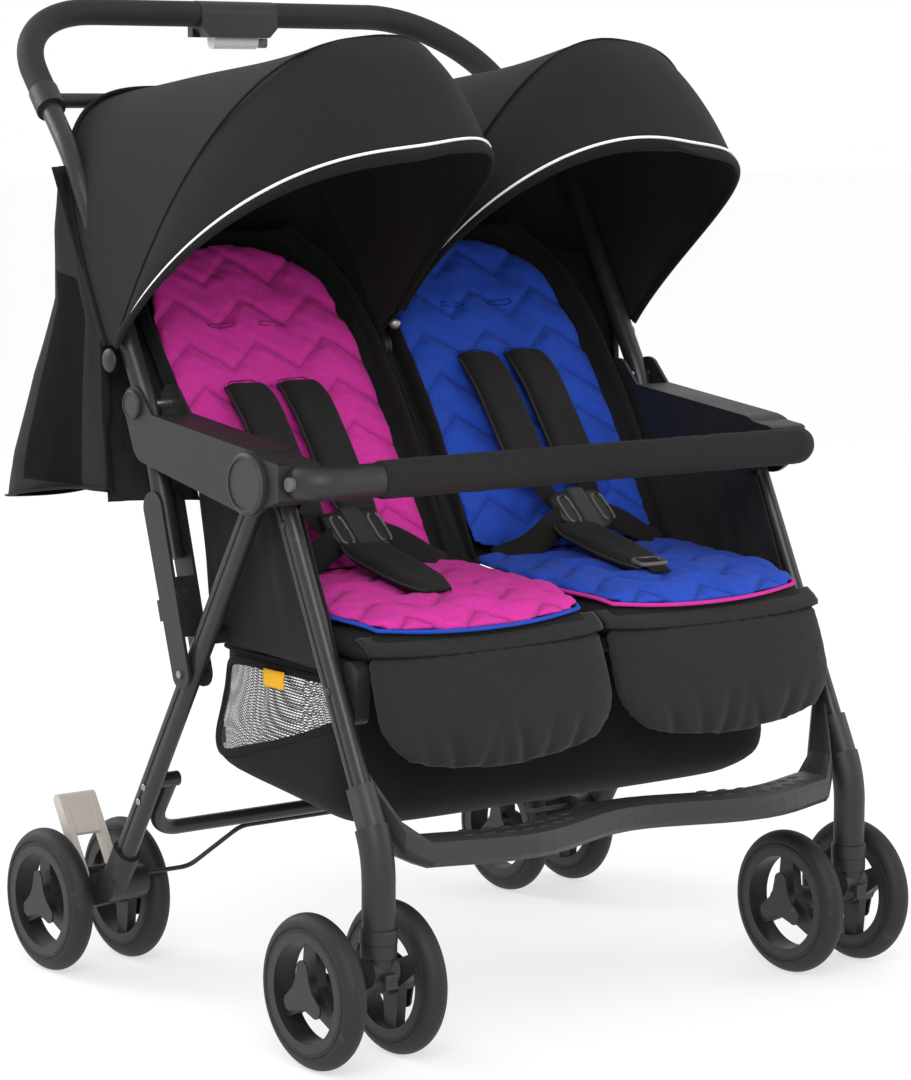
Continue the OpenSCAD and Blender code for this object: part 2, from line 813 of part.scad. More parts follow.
module bumper_bar() {
  color("#232324") difference() {
    union() {
      bent_tube(bumper_line, bumper_bends, bumper_core_d);
      both() {
        bent_tube([at(bumper_x, bumper_tail), [bumper_x, bumper_y, bumper_z],
                   [bumper_cover_l / 2, bumper_y, bumper_z]], [0, bumper_bend_r, 0], bumper_end_d);
        translate([bumper_x - tongue_w / 2, bumper_tail[0] - tongue_l / 2, nose[1] - tongue_h / 2])
          cube([tongue_w, tongue_l * 1.5, tongue_h]);
      }
    }
    both() translate(button_at - [clear, 0, 0]) rotate([0, 90, 0])
      cylinder(d = button_d + 2 * clear, h = button_l + overrun);
  }
}

module bumper_cover() {
  color("#171718") difference() {
    cross_rod([bumper_y, bumper_z], clear - bumper_cover_l / 2, bumper_cover_l / 2 - clear, bumper_cover_d);
    cross_rod([bumper_y, bumper_z], -bumper_cover_l, bumper_cover_l, bumper_core_d + 2 * seat_fit);
  }
}

module bumper_button() {
  color("#8a8885") translate(button_at + [button_l / 2, 0, 0]) rotate([0, 90, 0])
    cylinder(d = button_d, h = button_l / 2 + button_out);
}

module bumper_button_right() { bumper_button(); }
module bumper_button_left() { to_left() bumper_button(); }

// Lock links between the rear legs and the push bar
module lock_links() {
  top = on(knee, rear_pivot, link_over);
  color("#2a2a2b") both() difference() {
    union() {
      for (x = [rear_x - link_gap - link_wall, rear_x + link_gap]) slab(x, x + link_wall)
        link_shape(link_pivot, link_foot_r, top, link_head_r);
      along(link_pivot, knee, rear_x) translate([-link_gap - link_wall, -link_foot_r, link_web_from])
        cube([2 * (link_gap + link_wall), link_wall, link_web_l]);
      along(link_pivot, knee, rear_x) translate([link_gap, link_foot_r - link_wall, link_web_from + hook_l])
        cube([link_wall, hook_d, hook_l]);
    }
    cross_rod(link_pivot, rear_x - overrun, rear_x + overrun, small_pin_d + 2 * run_fit);
  }
}

// Push bar and handle
push_start = on(knee, link_pivot, push_tail);
bend_corner = at(rear_x, push_bend);
handle_corner = at(handle_half, handle_end);
collar = mix(bend_corner, handle_corner, collar_share);
push_side = [at(rear_x, push_start), at(rear_x, rear_pivot), bend_corner, handle_corner];
push_pivot_r = 200;
push_bend_r = 150;
push_left = [for (p = push_side) [-p[0], p[1], p[2]]];
push_line = concat(push_left, [for (k = [3:-1:0]) push_side[k]]);
push_bends = [0, push_pivot_r, push_bend_r, handle_bend_r, handle_bend_r, push_bend_r, push_pivot_r, 0];

module push_bar() {
  color("#3a3938") difference() {
    bent_tube(push_line, push_bends, tube_d);
    both() cross_rod(rear_pivot, rear_x - tube_d, rear_x + tube_d, small_pin_d + 2 * run_fit);
  }
}

module handle_grip() {
  color("#1d1d1e") both() difference() {
    bent_tube([on(collar, handle_corner, collar_l / 2 + clear), handle_corner,
               [housing_w / 2 + clear, handle_y, handle_z]], [0, handle_bend_r, 0], grip_d);
    bent_tube([bend_corner, handle_corner, [0, handle_y, handle_z]], [0, handle_bend_r, 0],
              tube_d + 2 * seat_fit);
  }
}

module handle_housing() {
  color("#202021") difference() {
    slab(-housing_w / 2, housing_w / 2) {
      translate(handle_end) circle(d = 2 * housing_half);
      translate(handle_end - [housing_half, housing_drop]) square([2 * housing_half, housing_drop]);
    }
    rod([-housing_w, handle_y, handle_z], [housing_w, handle_y, handle_z], tube_d + 2 * seat_fit);
    translate([-trigger_w / 2 - clear, handle_y - trigger_d / 2 - clear, handle_z - housing_drop - overrun])
      cube([trigger_w + 2 * clear, trigger_d + 2 * clear, overrun + trigger_travel + trigger_in + clear]);
    for (x = [-housing_w / 2, housing_w / 2])
      translate([x, handle_y - housing_half - overrun, handle_z - housing_drop]) rotate([0, 45, 0])
        cube([housing_half, 4 * overrun, housing_half], center = true);
  }
}

module fold_trigger() {
  low = handle_z - housing_drop - trigger_h + trigger_in;
  color("#c9c8c5") translate([-trigger_w / 2, handle_y - trigger_d / 2, low]) {
    translate([0, 0, trigger_h / 2]) cube([trigger_w, trigger_d, trigger_h / 2]);
    translate([0, trigger_d / 2, trigger_h / 2]) rotate([0, 90, 0]) cylinder(d = trigger_h, h = trigger_w);
  }
}

module fold_slider() {
  top = handle_z - housing_drop - clear;
  color("#a5a4a1") translate([trigger_w / 2 + slider_gap, handle_y, top]) mirror([0, 0, 1]) {
    translate([0, -slider_w / 2, 0]) cube([slider_w, slider_w, slider_h - slider_w / 2]);
    translate([0, 0, slider_h - slider_w / 2]) rotate([0, 90, 0]) cylinder(d = slider_w, h = slider_w);
  }
}

module cross_brace() {
  color("#2a2a2b") difference() {
    union() {
      rod([-collar[0], collar[1], collar[2]], collar, brace_d);
      both() rod(on(collar, bend_corner, collar_l / 2), on(collar, handle_corner, collar_l / 2),
                 tube_d + 2 * collar_wall);
    }
    both() rod(on(collar, bend_corner, collar_l), on(collar, handle_corner, collar_l), tube_d + 2 * seat_fit);
  }
}

// Seat frame: two side rails, cross rails and clips to the legs
module seat_frame() {
  color("#2b2b2b") {
    cross_rod(seat_front, -rail_x, rail_x, rail_d);
    cross_rod(seat_rear, -rear_x + leg_w / 2, rear_x - leg_w / 2, rail_d);
    for (x = [-rail_x, 0, rail_x]) rod(at(x, seat_front), at(x, seat_rear), rail_side_d);
    both() {
      slab(rail_x, pair_x - leg_w / 2 - plate_gap)
        link_shape(seat_front, plate_r, seat_front - [0, plate_l], plate_low_r);
    }
  }
}

// Quilted pad, w across and l along Y, with a crown, drawn-in edges and zigzag channels
function zig(a, n) = abs((a * n + 100) % 2 - 1) * 2 - 1;

function pad_ring(j, w, l, t, front, back, rows, cols, zag, dip) =
  let (b = -1 + 2 * j / rows, k = b < 0 ? front : back)
  concat(
    [for (i = [0:cols]) let (a = -1 + 2 * i / cols) pad_point(a, b, w, l, t, k, zag, j % 2 == 1 ? dip : 0)],
    [for (i = [cols:-1:0]) let (a = -1 + 2 * i / cols) pad_point(a, b, w, l, -t, k, zag, 0)]);

function pad_point(a, b, w, l, t, k, zag, dip) =
  let (crown = edge_share + (1 - edge_share) * (1 - pow(a, 4)) * (1 - pow(b, 6)))
  [a * w / 2 * sqrt(1 - k * b * b / 2),
   b * l / 2 * sqrt(1 - k * a * a / 2) + zag * zig(a, chevrons) * (1 - b * b),
   t / 2 * crown - dip * (1 - pow(a, 6))];

module pad(w, l, t, front, back, rows, cols, zag, dip) {
  loft([for (j = [0:rows]) pad_ring(j, w, l, t, front, back, rows, cols, zag, dip)]);
}

seat_front_round_share = 0.62;
seat_back_round_share = 0.1;
back_top_round_share = 0.85;

module seat_pad() {
  low = seat_mid[1] - seat_overhang * tan(seat_tilt);
  translate([seat_mid_x, seat_mid[0] - seat_overhang, low]) rotate([seat_tilt, 0, 0])
    union() {
      translate([0, 0, seat_t / 2])
        pad(seat_wide, seat_l, seat_t, seat_front_round_share, seat_back_round_share,
            pad_rows, pad_cols, chevron, channel_d);
      translate([-base_w / 2, -base_front, clear - seat_seat]) cube([base_w, base_l, seat_seat + seat_t / 3]);
    }
}

module seat_left() { color("#b8348a") to_left() seat_pad(); }
module seat_right() { color("#2340a0") seat_pad(); }

module back_place() {
  translate(at(back_mid_x, back_foot)) rotate([90 - back_lean, 0, 0]) children();
}

module back_pad() {
  back_place() translate([0, back_gap + back_l / 2, 0])
    pad(back_wide, back_l, back_t, seat_back_round_share, back_top_round_share, back_rows, pad_cols,
        chevron, channel_d);
  top = back_foot + back_strap_l * [sin(back_lean), cos(back_lean)];
  for (s = [-1, 1]) difference() {
    slab(back_mid_x + s * back_wide / 3 - calf_strap_w / 2, back_mid_x + s * back_wide / 3 + calf_strap_w / 2)
      link_shape(seat_rear, rail_d / 2 + calf_strap_t, top, calf_strap_t);
    cross_rod(seat_rear, 0, rear_x, rail_d + 2 * run_fit);
  }
}

module seat_back_left() { color("#b8348a") to_left() back_pad(); }
module seat_back_right() { color("#2340a0") back_pad(); }

module harness() {
  color("#18181a") back_place() for (s = [-1, 1])
    translate([s * belt_x, back_gap + back_l * (1 - belt_share) - belt_l / 2, (back_t + belt_t) / 2 + clear])
      pad(belt_w, belt_l, belt_t, belt_round_share, belt_round_share, belt_rows, belt_cols, 0, 0);
}

module harness_right() { harness(); }
module harness_left() { to_left() harness(); }

module buckle_place() {
  translate([seat_mid_x, buckle_y, buckle_z]) rotate([buckle_lean, 0, 0]) children();
}

module buckle() {
  color("#19191b") buckle_place() difference() {
    union() {
      translate([0, 0, -buckle_t / 2]) linear_extrude(buckle_t) {
        translate([-buckle_w / 2, 0]) square([buckle_w, buckle_l / 2]);
        intersection() {
          circle(d = buckle_l);
          translate([-buckle_w / 2, -buckle_l / 2]) square([buckle_w, buckle_l]);
        }
      }
      translate([-crotch_w / 2, -buckle_l / 2 - crotch_l, -buckle_t / 2])
        cube([crotch_w, crotch_l + overrun, crotch_t]);
    }
    translate([-release_w / 2 - clear, -release_l / 2 - clear, buckle_t / 2 - release_t - clear])
      cube([release_w + 2 * clear, release_l + 2 * clear, release_t + overrun]);
  }
}

module buckle_right() { buckle(); }
module buckle_left() { to_left() buckle(); }

module buckle_button() {
  color("#2a2a2c") buckle_place()
    translate([-release_w / 2, -release_l / 2, buckle_t / 2 - release_t / 2])
      cube([release_w, release_l, release_t / 2 + release_out]);
}

module buckle_button_right() { buckle_button(); }
module buckle_button_left() { to_left() buckle_button(); }

// Calf rest: a padded flap on two loops round the front rail
module calf_rest() {
  color("#1a1a1b") translate(at(seat_mid_x, seat_front)) rotate([90 - calf_tilt, 0, 0]) {
    translate([0, calf_rise - calf_l / 2, calf_front])
      pad(calf_wide, calf_l, calf_t, back_top_round_share, seat_back_round_share, calf_rows, pad_cols, 0, 0);
    for (s = [-1, 1]) translate([s * calf_wide / 3 - calf_strap_w / 2, 0, 0]) difference() {
      union() {
        rotate([0, 90, 0]) cylinder(d = rail_d + 2 * calf_strap_t, h = calf_strap_w);
        translate([0, -calf_l / 4, rail_d / 2]) cube([calf_strap_w, calf_l / 4, calf_strap_t]);
      }
      translate([-overrun, 0, 0]) rotate([0, 90, 0])
        cylinder(d = rail_d + 2 * run_fit, h = calf_strap_w + 2 * overrun);
    }
  }
}

module calf_rest_right() { calf_rest(); }
module calf_rest_left() { to_left() calf_rest(); }

// Hoods: cloth over bows that turn about one cross axis
// A bow is [angle at its feet, radius, angle added at its top, power of its outline, share of the inner offset]
function bow_point(bow, th, inset) =
  let (far = pow(pow(abs(cos(th)), bow[3]) + pow(sin(th), bow[3]), 1 / bow[3]),
       r = (bow[1] - inset) * sin(th) / far,
       b = bow[0] + bow[2] * pow(sin(th), hood_visor_power),
       inner = (1 + cos(th) / far) / 2,
       foot = hood_pivot + bow[4] * inner * inner * (3 - 2 * inner) * hood_inner_offset)
  [hood_x - (hood_half - inset) * cos(th) / far, foot[0] - r * sin(b), foot[1] + r * cos(b)];

// t runs from one bow to the next, and the cloth swells between them
function hood_skin(from, to, t, swell, th, inset) =
  let (p = mix(bow_point(from, th, inset), bow_point(to, th, inset), t))
  p + 4 * swell * t * (1 - t) * sin(th) * unit(p - at(hood_x, hood_pivot));

function hood_ring(from, to, t, swell) =
  let (step = (180 - 2 * hood_foot_a) / hood_steps)
  concat([for (i = [0:hood_steps]) hood_skin(from, to, t, swell, hood_foot_a + i * step, 0)],
         [for (i = [hood_steps:-1:0]) hood_skin(from, to, t, swell, hood_foot_a + i * step, hood_t)]);

module hood_section(from, to, steps, swell) {
  loft([for (k = [0:steps]) hood_ring(from, to, k / steps, swell)]);
}

module hood_front_panel() {
  color("#1b1b1c") hood_section(hood_front, hood_mid_fore, hood_front_steps, hood_bulge);
}

module hood_right() { hood_front_panel(); }
module hood_left() { to_left() hood_front_panel(); }

module hood_rear_panel() {
  color("#1b1b1c") difference() {
    hood_section(hood_mid_aft, hood_rear, hood_rear_steps, 0);
    bent_tube(push_side, push_bends, tube_d + 2 * hood_cut);
  }
}

module hood_rear_right() { hood_rear_panel(); }
module hood_rear_left() { to_left() hood_rear_panel(); }

// Rear drapes: a back panel and two side gussets under each hood
module rear_drapes() {
  up = [-sin(hood_rear_a), cos(hood_rear_a)];
  edge = hood_pivot + 2 * hood_cut * [up[1], -up[0]];
  top = edge + drape_top * up;
  out = hood_x + hood_half - hood_cut;
  back = [for (d = drape_drop) top + d];
  color("#171717") both() {
    loft([for (q = back)
      [at(drape_in, q), at(out, q), at(out, q - [drape_t, 0]), at(drape_in, q - [drape_t, 0])]]);
    for (x = [drape_in, out - drape_t]) slab(x, x + drape_t)
      polygon(concat([for (q = back) q - [drape_t - lap, 0]], [top + drape_front, edge + drape_low * up]));
  }
}

// Basket: a cloth trough open at the top
function basket_ring(h, inset) =
  let (grow = basket_inset * (1 - h / basket_h))
  [for (k = [0:basket_steps - 1]) let (a = 360 * (k + 0.5) / basket_steps)
    [(basket_wide / 2 - grow - inset) * power_of(sin(a), 1 - basket_corner_share),
     basket_mid_y + (basket_l / 2 - grow - inset) * power_of(cos(a), 1 - basket_corner_share),
     basket_rim_z - basket_h + h]];

module basket() {
  color("#191919")
    loft([basket_ring(0, 0), basket_ring(basket_h, 0), basket_ring(basket_h, basket_t),
          basket_ring(basket_t, basket_t)]);
}

// Seat sides: cloth walls from the armrests down to the rails
module seat_sides() {
  low = seat_front + [rail_d, rail_d];
  color("#1a1a1b") both() slab(side_x, side_x + side_t)
    polygon([low, apex - [overrun, armrest_apex_d / 2 + clear], elbow - [elbow_r, elbow_r + side_elbow_drop],
             rear_pivot - side_rear_in, seat_rear + [-clear, rail_d]]);
}

rear_leg_left();
rear_leg_right();
rear_cross_tube();
rear_hubs();
rear_axles();
brake_cable();
seat_frame();
seat_left();
seat_right();
basket();
seat_sides();
buckle_left();
buckle_right();
frame_rivets();
brake_pedal();
brake_arm();
rear_wheel_left_outer();
rear_wheel_left_inner();
rear_wheel_right_inner();
rear_wheel_right_outer();
front_leg_left();
front_leg_right();
footrest();
front_shoes();
caster_left();
caster_right();
caster_lock_left();
caster_lock_right();
front_wheel_left_outer();
front_wheel_left_inner();
front_wheel_right_inner();
front_wheel_right_outer();
armrest_left();
armrest_right();
pivot_caps();
fold_pins();
bumper_bar();
bumper_cover();
bumper_button_left();
bumper_button_right();
lock_links();
push_bar();
handle_grip();
handle_housing();
cross_brace();
hood_rear_left();
hood_rear_right();
rear_drapes();
fold_trigger();
fold_slider();
hood_left();
hood_right();
seat_back_left();
seat_back_right();
harness_left();
harness_right();
calf_rest_left();
calf_rest_right();
buckle_button_left();
buckle_button_right();
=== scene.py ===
# %% [markdown]
# # Dressing a side by side double stroller
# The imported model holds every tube, wheel and joint of the stroller. This lesson puts cloth, padding and
# finishes around it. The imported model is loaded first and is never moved, so each new piece is worked out
# in the same frame: the left of the stroller is -X, its front is -Y and the floor is at Z = 0.

# %% Load the frame
import math
from functools import partial

import bmesh
import bpy
import numpy as np
from mathutils import Matrix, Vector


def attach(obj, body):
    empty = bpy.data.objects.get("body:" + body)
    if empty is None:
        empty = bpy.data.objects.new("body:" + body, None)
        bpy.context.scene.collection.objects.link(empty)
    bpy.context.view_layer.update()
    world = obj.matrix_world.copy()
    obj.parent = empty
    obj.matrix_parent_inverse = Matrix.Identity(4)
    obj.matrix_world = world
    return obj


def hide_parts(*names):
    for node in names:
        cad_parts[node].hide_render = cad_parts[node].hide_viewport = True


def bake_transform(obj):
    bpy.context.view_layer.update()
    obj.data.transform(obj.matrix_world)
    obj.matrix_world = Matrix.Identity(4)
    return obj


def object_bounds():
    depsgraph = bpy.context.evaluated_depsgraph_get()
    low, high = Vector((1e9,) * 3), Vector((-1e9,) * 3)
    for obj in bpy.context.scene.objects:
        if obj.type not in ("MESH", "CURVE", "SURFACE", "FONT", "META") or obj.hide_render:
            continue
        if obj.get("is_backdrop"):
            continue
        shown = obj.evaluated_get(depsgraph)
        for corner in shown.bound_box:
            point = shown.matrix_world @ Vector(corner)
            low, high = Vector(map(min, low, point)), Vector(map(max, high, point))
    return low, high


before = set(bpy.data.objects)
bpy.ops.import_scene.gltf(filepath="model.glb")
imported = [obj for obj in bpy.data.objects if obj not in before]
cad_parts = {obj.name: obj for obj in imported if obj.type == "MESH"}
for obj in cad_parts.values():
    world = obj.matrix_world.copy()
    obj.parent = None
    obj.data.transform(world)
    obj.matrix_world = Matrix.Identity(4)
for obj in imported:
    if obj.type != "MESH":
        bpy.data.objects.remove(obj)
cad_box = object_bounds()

MM = 0.001

# %% [markdown]
# ## Camera
# The camera was fitted to the circles of the eight wheels, so it stands where the photographer stood. A
# camera's matrix holds its right, up and back directions as columns, so turning it is only sines and
# cosines, and no tracking constraint is needed.

# %% Camera
TURN, LOOK_DOWN, ROLL = np.radians([-37.8455, 7.2976, 0.12])
FOCAL_PIXELS, FRAME_PIXELS, SENSOR = 3447.4, 1080, 36
CAMERA_AT = (-2.2467, -2.9463, 0.9324)


def linked(name, data):
    """A new object that holds the data, linked to the scene."""
    made = bpy.data.objects.new(name, data)
    bpy.context.scene.collection.objects.link(made)
    return made


def pose(right, up, back, at):
    """The matrix of an object whose columns are its three directions and its place."""
    matrix = np.eye(4)
    matrix[:3, :4] = np.stack([right, up, back, at], 1)
    return Matrix(matrix.tolist())


back = np.array([math.sin(TURN) * math.cos(LOOK_DOWN), -math.cos(TURN) * math.cos(LOOK_DOWN),
                 math.sin(LOOK_DOWN)])
level = np.array([math.cos(TURN), math.sin(TURN), 0.0])
upright = np.cross(back, level)
right = math.cos(ROLL) * level + math.sin(ROLL) * upright
up = math.cos(ROLL) * upright - math.sin(ROLL) * level
camera = linked("camera", bpy.data.cameras.new("camera"))
camera.data.sensor_width = SENSOR
camera.data.lens = FOCAL_PIXELS / FRAME_PIXELS * SENSOR
camera.matrix_world = pose(right, up, back, CAMERA_AT)
bpy.context.scene.camera = camera
print("lens:", round(camera.data.lens, 1), "mm")

# %% [markdown]
# ## Small tools for surfaces
# Every new piece is a grid of points: a function of two parameters, worked out as whole arrays. One helper
# turns a grid into faces, one closes two grids into a cushion, and one carries a profile along a path.

# %% Grids to meshes
def quads(index):
    """Four corners of each cell of an index grid, in order round the cell."""
    return np.stack([index[:-1, :-1], index[1:, :-1], index[1:, 1:], index[:-1, 1:]], -1).reshape(-1, 4)


def new_piece(name, points, faces, finish, cut=None, closed=True):
    """A mesh object from points in millimetres. A closed skin gets its faces turned outwards.

    cut holds the flat place of each point on the cloth, in metres, for patterns that follow the piece."""
    mesh = bpy.data.meshes.new(name)
    places = np.asarray(points, float).reshape(-1, 3) * MM
    mesh.from_pydata(places.tolist(), [], [list(map(int, f)) for f in faces])
    if cut is not None:
        layer = mesh.attributes.new("cut", "FLOAT_VECTOR", "POINT")
        layer.data.foreach_set("vector", np.asarray(cut, np.float32).ravel())
    if closed:
        shell = bmesh.new()
        shell.from_mesh(mesh)
        bmesh.ops.remove_doubles(shell, verts=shell.verts, dist=1e-6)
        bmesh.ops.recalc_face_normals(shell, faces=shell.faces)
        shell.to_mesh(mesh)
        shell.free()
    mesh.polygons.foreach_set("use_smooth", np.ones(len(mesh.polygons), bool))
    mesh.materials.append(finish)
    return linked(name, mesh)


def grid_index(rows, columns, round_columns=False):
    """Index grid of a surface, which may be joined to itself across its columns."""
    index = np.arange(rows * columns).reshape(rows, columns)
    return np.hstack([index, index[:, :1]]) if round_columns else index


def cushion(top, bottom):
    """Points and faces of two grids: the bottom borrows the top's border, so the seam is closed."""
    rows, columns = top.shape[:2]
    upper = grid_index(rows, columns)
    lower = upper.copy()
    lower[1:-1, 1:-1] = rows * columns + grid_index(rows - 2, columns - 2)
    points = np.vstack([top.reshape(-1, 3), bottom[1:-1, 1:-1].reshape(-1, 3)])
    return points, np.vstack([quads(upper), quads(lower)[:, ::-1]])

# %% [markdown]
# Straps, hems and tubes are rods: a profile carried along a path. The path is a smooth curve through a few
# points. The profile is a superellipse, where the powers of x / a and y / b add up to 1: the power 2 gives an
# ellipse, and a higher power gives a flat strap with round edges.

# %% Rods along a path
def smooth_path(points, steps=10):
    """A Catmull-Rom curve through the points: each stretch is a cubic that leaves and meets them smoothly."""
    p = np.asarray(points, float)
    p = np.vstack([2 * p[0] - p[1], p, 2 * p[-1] - p[-2]])
    t = np.linspace(0, 1, steps, endpoint=False)[None, :, None]
    a, b, c, d = (p[i:len(p) - 3 + i, None, :] for i in range(4))
    curve = 0.5 * (2 * b + (c - a) * t + (2 * a - 5 * b + 4 * c - d) * t**2 + (3 * b - a - 3 * c + d) * t**3)
    return np.vstack([curve.reshape(-1, p.shape[1]), p[-2]])


def carried(path, profile, side):
    """A closed profile (across, out) carried along a path, its first axis kept as near to side as can be."""
    ahead = np.gradient(path, axis=0)
    ahead /= np.linalg.norm(ahead, axis=1, keepdims=True)
    side = np.broadcast_to(np.asarray(side, float), path.shape)
    out = np.cross(ahead, side)
    out /= np.linalg.norm(out, axis=1, keepdims=True)
    across = np.cross(out, ahead)
    profile = np.broadcast_to(profile, (len(path),) + profile.shape[-2:])
    return path[:, None] + profile[..., :1] * across[:, None] + profile[..., 1:] * out[:, None]


def rod_piece(name, path, profile, side, finish):
    """A profile carried along a path, with its two ends filled."""
    rings = carried(np.asarray(path, float), profile, side)
    rows, columns = rings.shape[:2]
    points = np.vstack([rings.reshape(-1, 3), rings[0].mean(0), rings[-1].mean(0)])
    index = grid_index(rows, columns, round_columns=True)
    faces = quads(index).tolist()
    for ring, centre in ((index[0], rows * columns), (index[-1], rows * columns + 1)):
        faces += np.stack([ring[:-1], ring[1:], np.full(columns, centre)], 1).tolist()
    return new_piece(name, points, faces, finish)


def signed_power(w, power):
    """A power of the size of w that keeps the sign of w."""
    return np.sign(w) * abs(w)**power


def round_loop(a, half_x, half_y, power_x, power_y=None):
    """Points of a superellipse at the angles a: a small power draws a rectangle with round corners."""
    power_y = power_x if power_y is None else power_y
    return half_x * signed_power(np.cos(a), power_x), half_y * signed_power(np.sin(a), power_y)


def oval_profile(width, height, count=16, power=2.0):
    """A superellipse round the path: power 2 is an ellipse, and a higher power is a rounded strap."""
    a = 2 * np.pi * np.arange(count) / count
    return np.stack(round_loop(a, width / 2, height / 2, 2 / power), 1)

# %% [markdown]
# A sheet of cloth is a grid with a thickness. Its size when laid flat is measured on the same grid and
# printed.

# %% Sheets of cloth
LEAST_SHARE = 0.301


def flat_size(grid):
    """Width, length and area of cloth laid flat: longest row, longest column and the sum of its cells."""
    across = np.linalg.norm(np.diff(grid, axis=1), axis=2).sum(1)
    along = np.linalg.norm(np.diff(grid, axis=0), axis=2).sum(0)
    a, b = grid[1:, 1:] - grid[:-1, :-1], grid[1:, :-1] - grid[:-1, 1:]
    area = np.linalg.norm(np.cross(a, b), axis=2).sum() / 2
    return across.max() * MM, along.max() * MM, area * MM * MM


def thicken(piece, thickness, offset):
    """Gives a sheet its thickness in millimetres by a live Solidify modifier."""
    wall = piece.modifiers.new("wall", "SOLIDIFY")
    wall.thickness, wall.offset = thickness * MM, offset


def cloth_piece(name, grid, finish, thickness=1.6, offset=0.0, cut=None):
    """A sheet of cloth from a grid, with its thickness."""
    piece = new_piece(name, grid, quads(grid_index(*grid.shape[:2])), finish, cut, closed=False)
    thicken(piece, thickness, offset)
    return piece


def declare_sheet(piece, grid, area_share=1.0):
    width, length, area = flat_size(grid)
    area = max(area_share * area, LEAST_SHARE * width * length)
    print(f"{piece.name}: cut {width * 1000:.0f} by {length * 1000:.0f} mm")

# %% [markdown]
# Three curves shape what is soft: a hill, a smooth step, and a sum of seeded waves in which no period shows.

# %% Hills, steps and waves
def bump(x, centre, half):
    """A smooth hill of height 1: a cosine over half either side of the centre."""
    hill = 0.5 + 0.5 * np.cos(np.pi * np.clip((x - centre) / half, -1, 1))
    return np.where(abs(x - centre) < half, hill, 0.0)


def ease(x):
    """A smooth step from 0 to 1: three squares less two cubes of x."""
    x = np.clip(x, 0, 1)
    return x * x * (3 - 2 * x)


def ripple(u, v, seed, waves=7, low=1.0, high=5.0):
    """A sum of sine waves with seeded directions, lengths and phases, about 1 high."""
    rng = np.random.default_rng(seed)
    turn, rate = rng.uniform(0, np.pi, waves), rng.uniform(low, high, waves)
    phase = rng.uniform(0, 6.28, waves)
    total = sum(np.sin(2 * np.pi * r * (u * math.cos(t) + v * math.sin(t)) + p) / r**0.5
                for t, r, p in zip(turn, rate, phase))
    return total / waves**0.5

# %% [markdown]
# ## Finishes
# The stroller has few materials: woven polyester, quilted cotton, moulded plastic, painted tube, rubber,
# foam and netting. Weave and grain come back in many of them, so each is a shader group that is built once.
# The Principled shader itself stays in each material, with its constant values set on its own sockets.

# %% Shader groups
SURFACE = {"Colour": "NodeSocketColor", "Height": "NodeSocketFloat", "Roughness": "NodeSocketFloat"}


def new_group(name, inputs, outputs):
    """An empty shader group: an input of None is a vector, a tuple is a colour, and others are floats."""
    group = bpy.data.node_groups.new(name, "ShaderNodeTree")
    for label, value in inputs.items():
        kind = "Vector" if value is None else "Color" if isinstance(value, tuple) else "Float"
        socket = group.interface.new_socket(label, in_out="INPUT", socket_type=f"NodeSocket{kind}")
        if value is not None:
            socket.default_value = value
    for label, kind in outputs.items():
        group.interface.new_socket(label, in_out="OUTPUT", socket_type=kind)
    return group, group.nodes.new("NodeGroupInput"), group.nodes.new("NodeGroupOutput")


def node(tree, kind, links=None, **values):
    """A shader node with its settings, and its sockets linked or set by number or name."""
    made = tree.nodes.new(kind)
    for key, value in values.items():
        setattr(made, key, value)
    for key, value in (links or {}).items():
        if isinstance(value, bpy.types.NodeSocket):
            tree.links.new(value, made.inputs[key])
        else:
            made.inputs[key].default_value = value
    return made


def maths(tree, operation, a, b=0.0, c=0.0):
    """The result socket of one Math node."""
    return node(tree, "ShaderNodeMath", {0: a, 1: b, 2: c}, operation=operation).outputs[0]


def noise(tree, where, scale, detail=2.0, rough=0.5):
    """The height of a noise texture, from 0 to 1."""
    values = {"Vector": where, "Scale": scale, "Detail": detail, "Roughness": rough}
    return node(tree, "ShaderNodeTexNoise", values).outputs[0]


def ramp(tree, value, low, high, start=0.0, end=1.0):
    """The result socket of a Map Range node: start below low, end above high and a straight line between."""
    return node(tree, "ShaderNodeMapRange", {0: value, 1: low, 2: high, 3: start, 4: end}).outputs[0]


def xyz(tree, vector):
    """The three sockets with the parts of a vector."""
    return node(tree, "ShaderNodeSeparateXYZ", {0: vector}).outputs


def blend_colour(tree, share, a, b, kind="MIX"):
    """The result socket of a colour mix: 0 gives a and 1 gives b."""
    made = node(tree, "ShaderNodeMix", {0: share, 6: a, 7: b}, data_type="RGBA", blend_type=kind)
    return made.outputs[2]


def tinted(tree, colour, shade):
    """The result socket of a colour times a grey shade."""
    grey = node(tree, "ShaderNodeCombineColor", {0: shade, 1: shade, 2: shade})
    return blend_colour(tree, 1.0, colour, grey.outputs[0], "MULTIPLY")


def give_out(group, result, **sockets):
    """Links sockets to the outputs of the group that have their names."""
    for label, socket in sockets.items():
        group.links.new(socket, result.inputs[label])

# %% [markdown]
# Woven cloth is three sets of sine bands, of which the highest one shows, with fibres and clouds of noise.
# A moulded skin is fine noise, and a coarser noise picks the worn places.

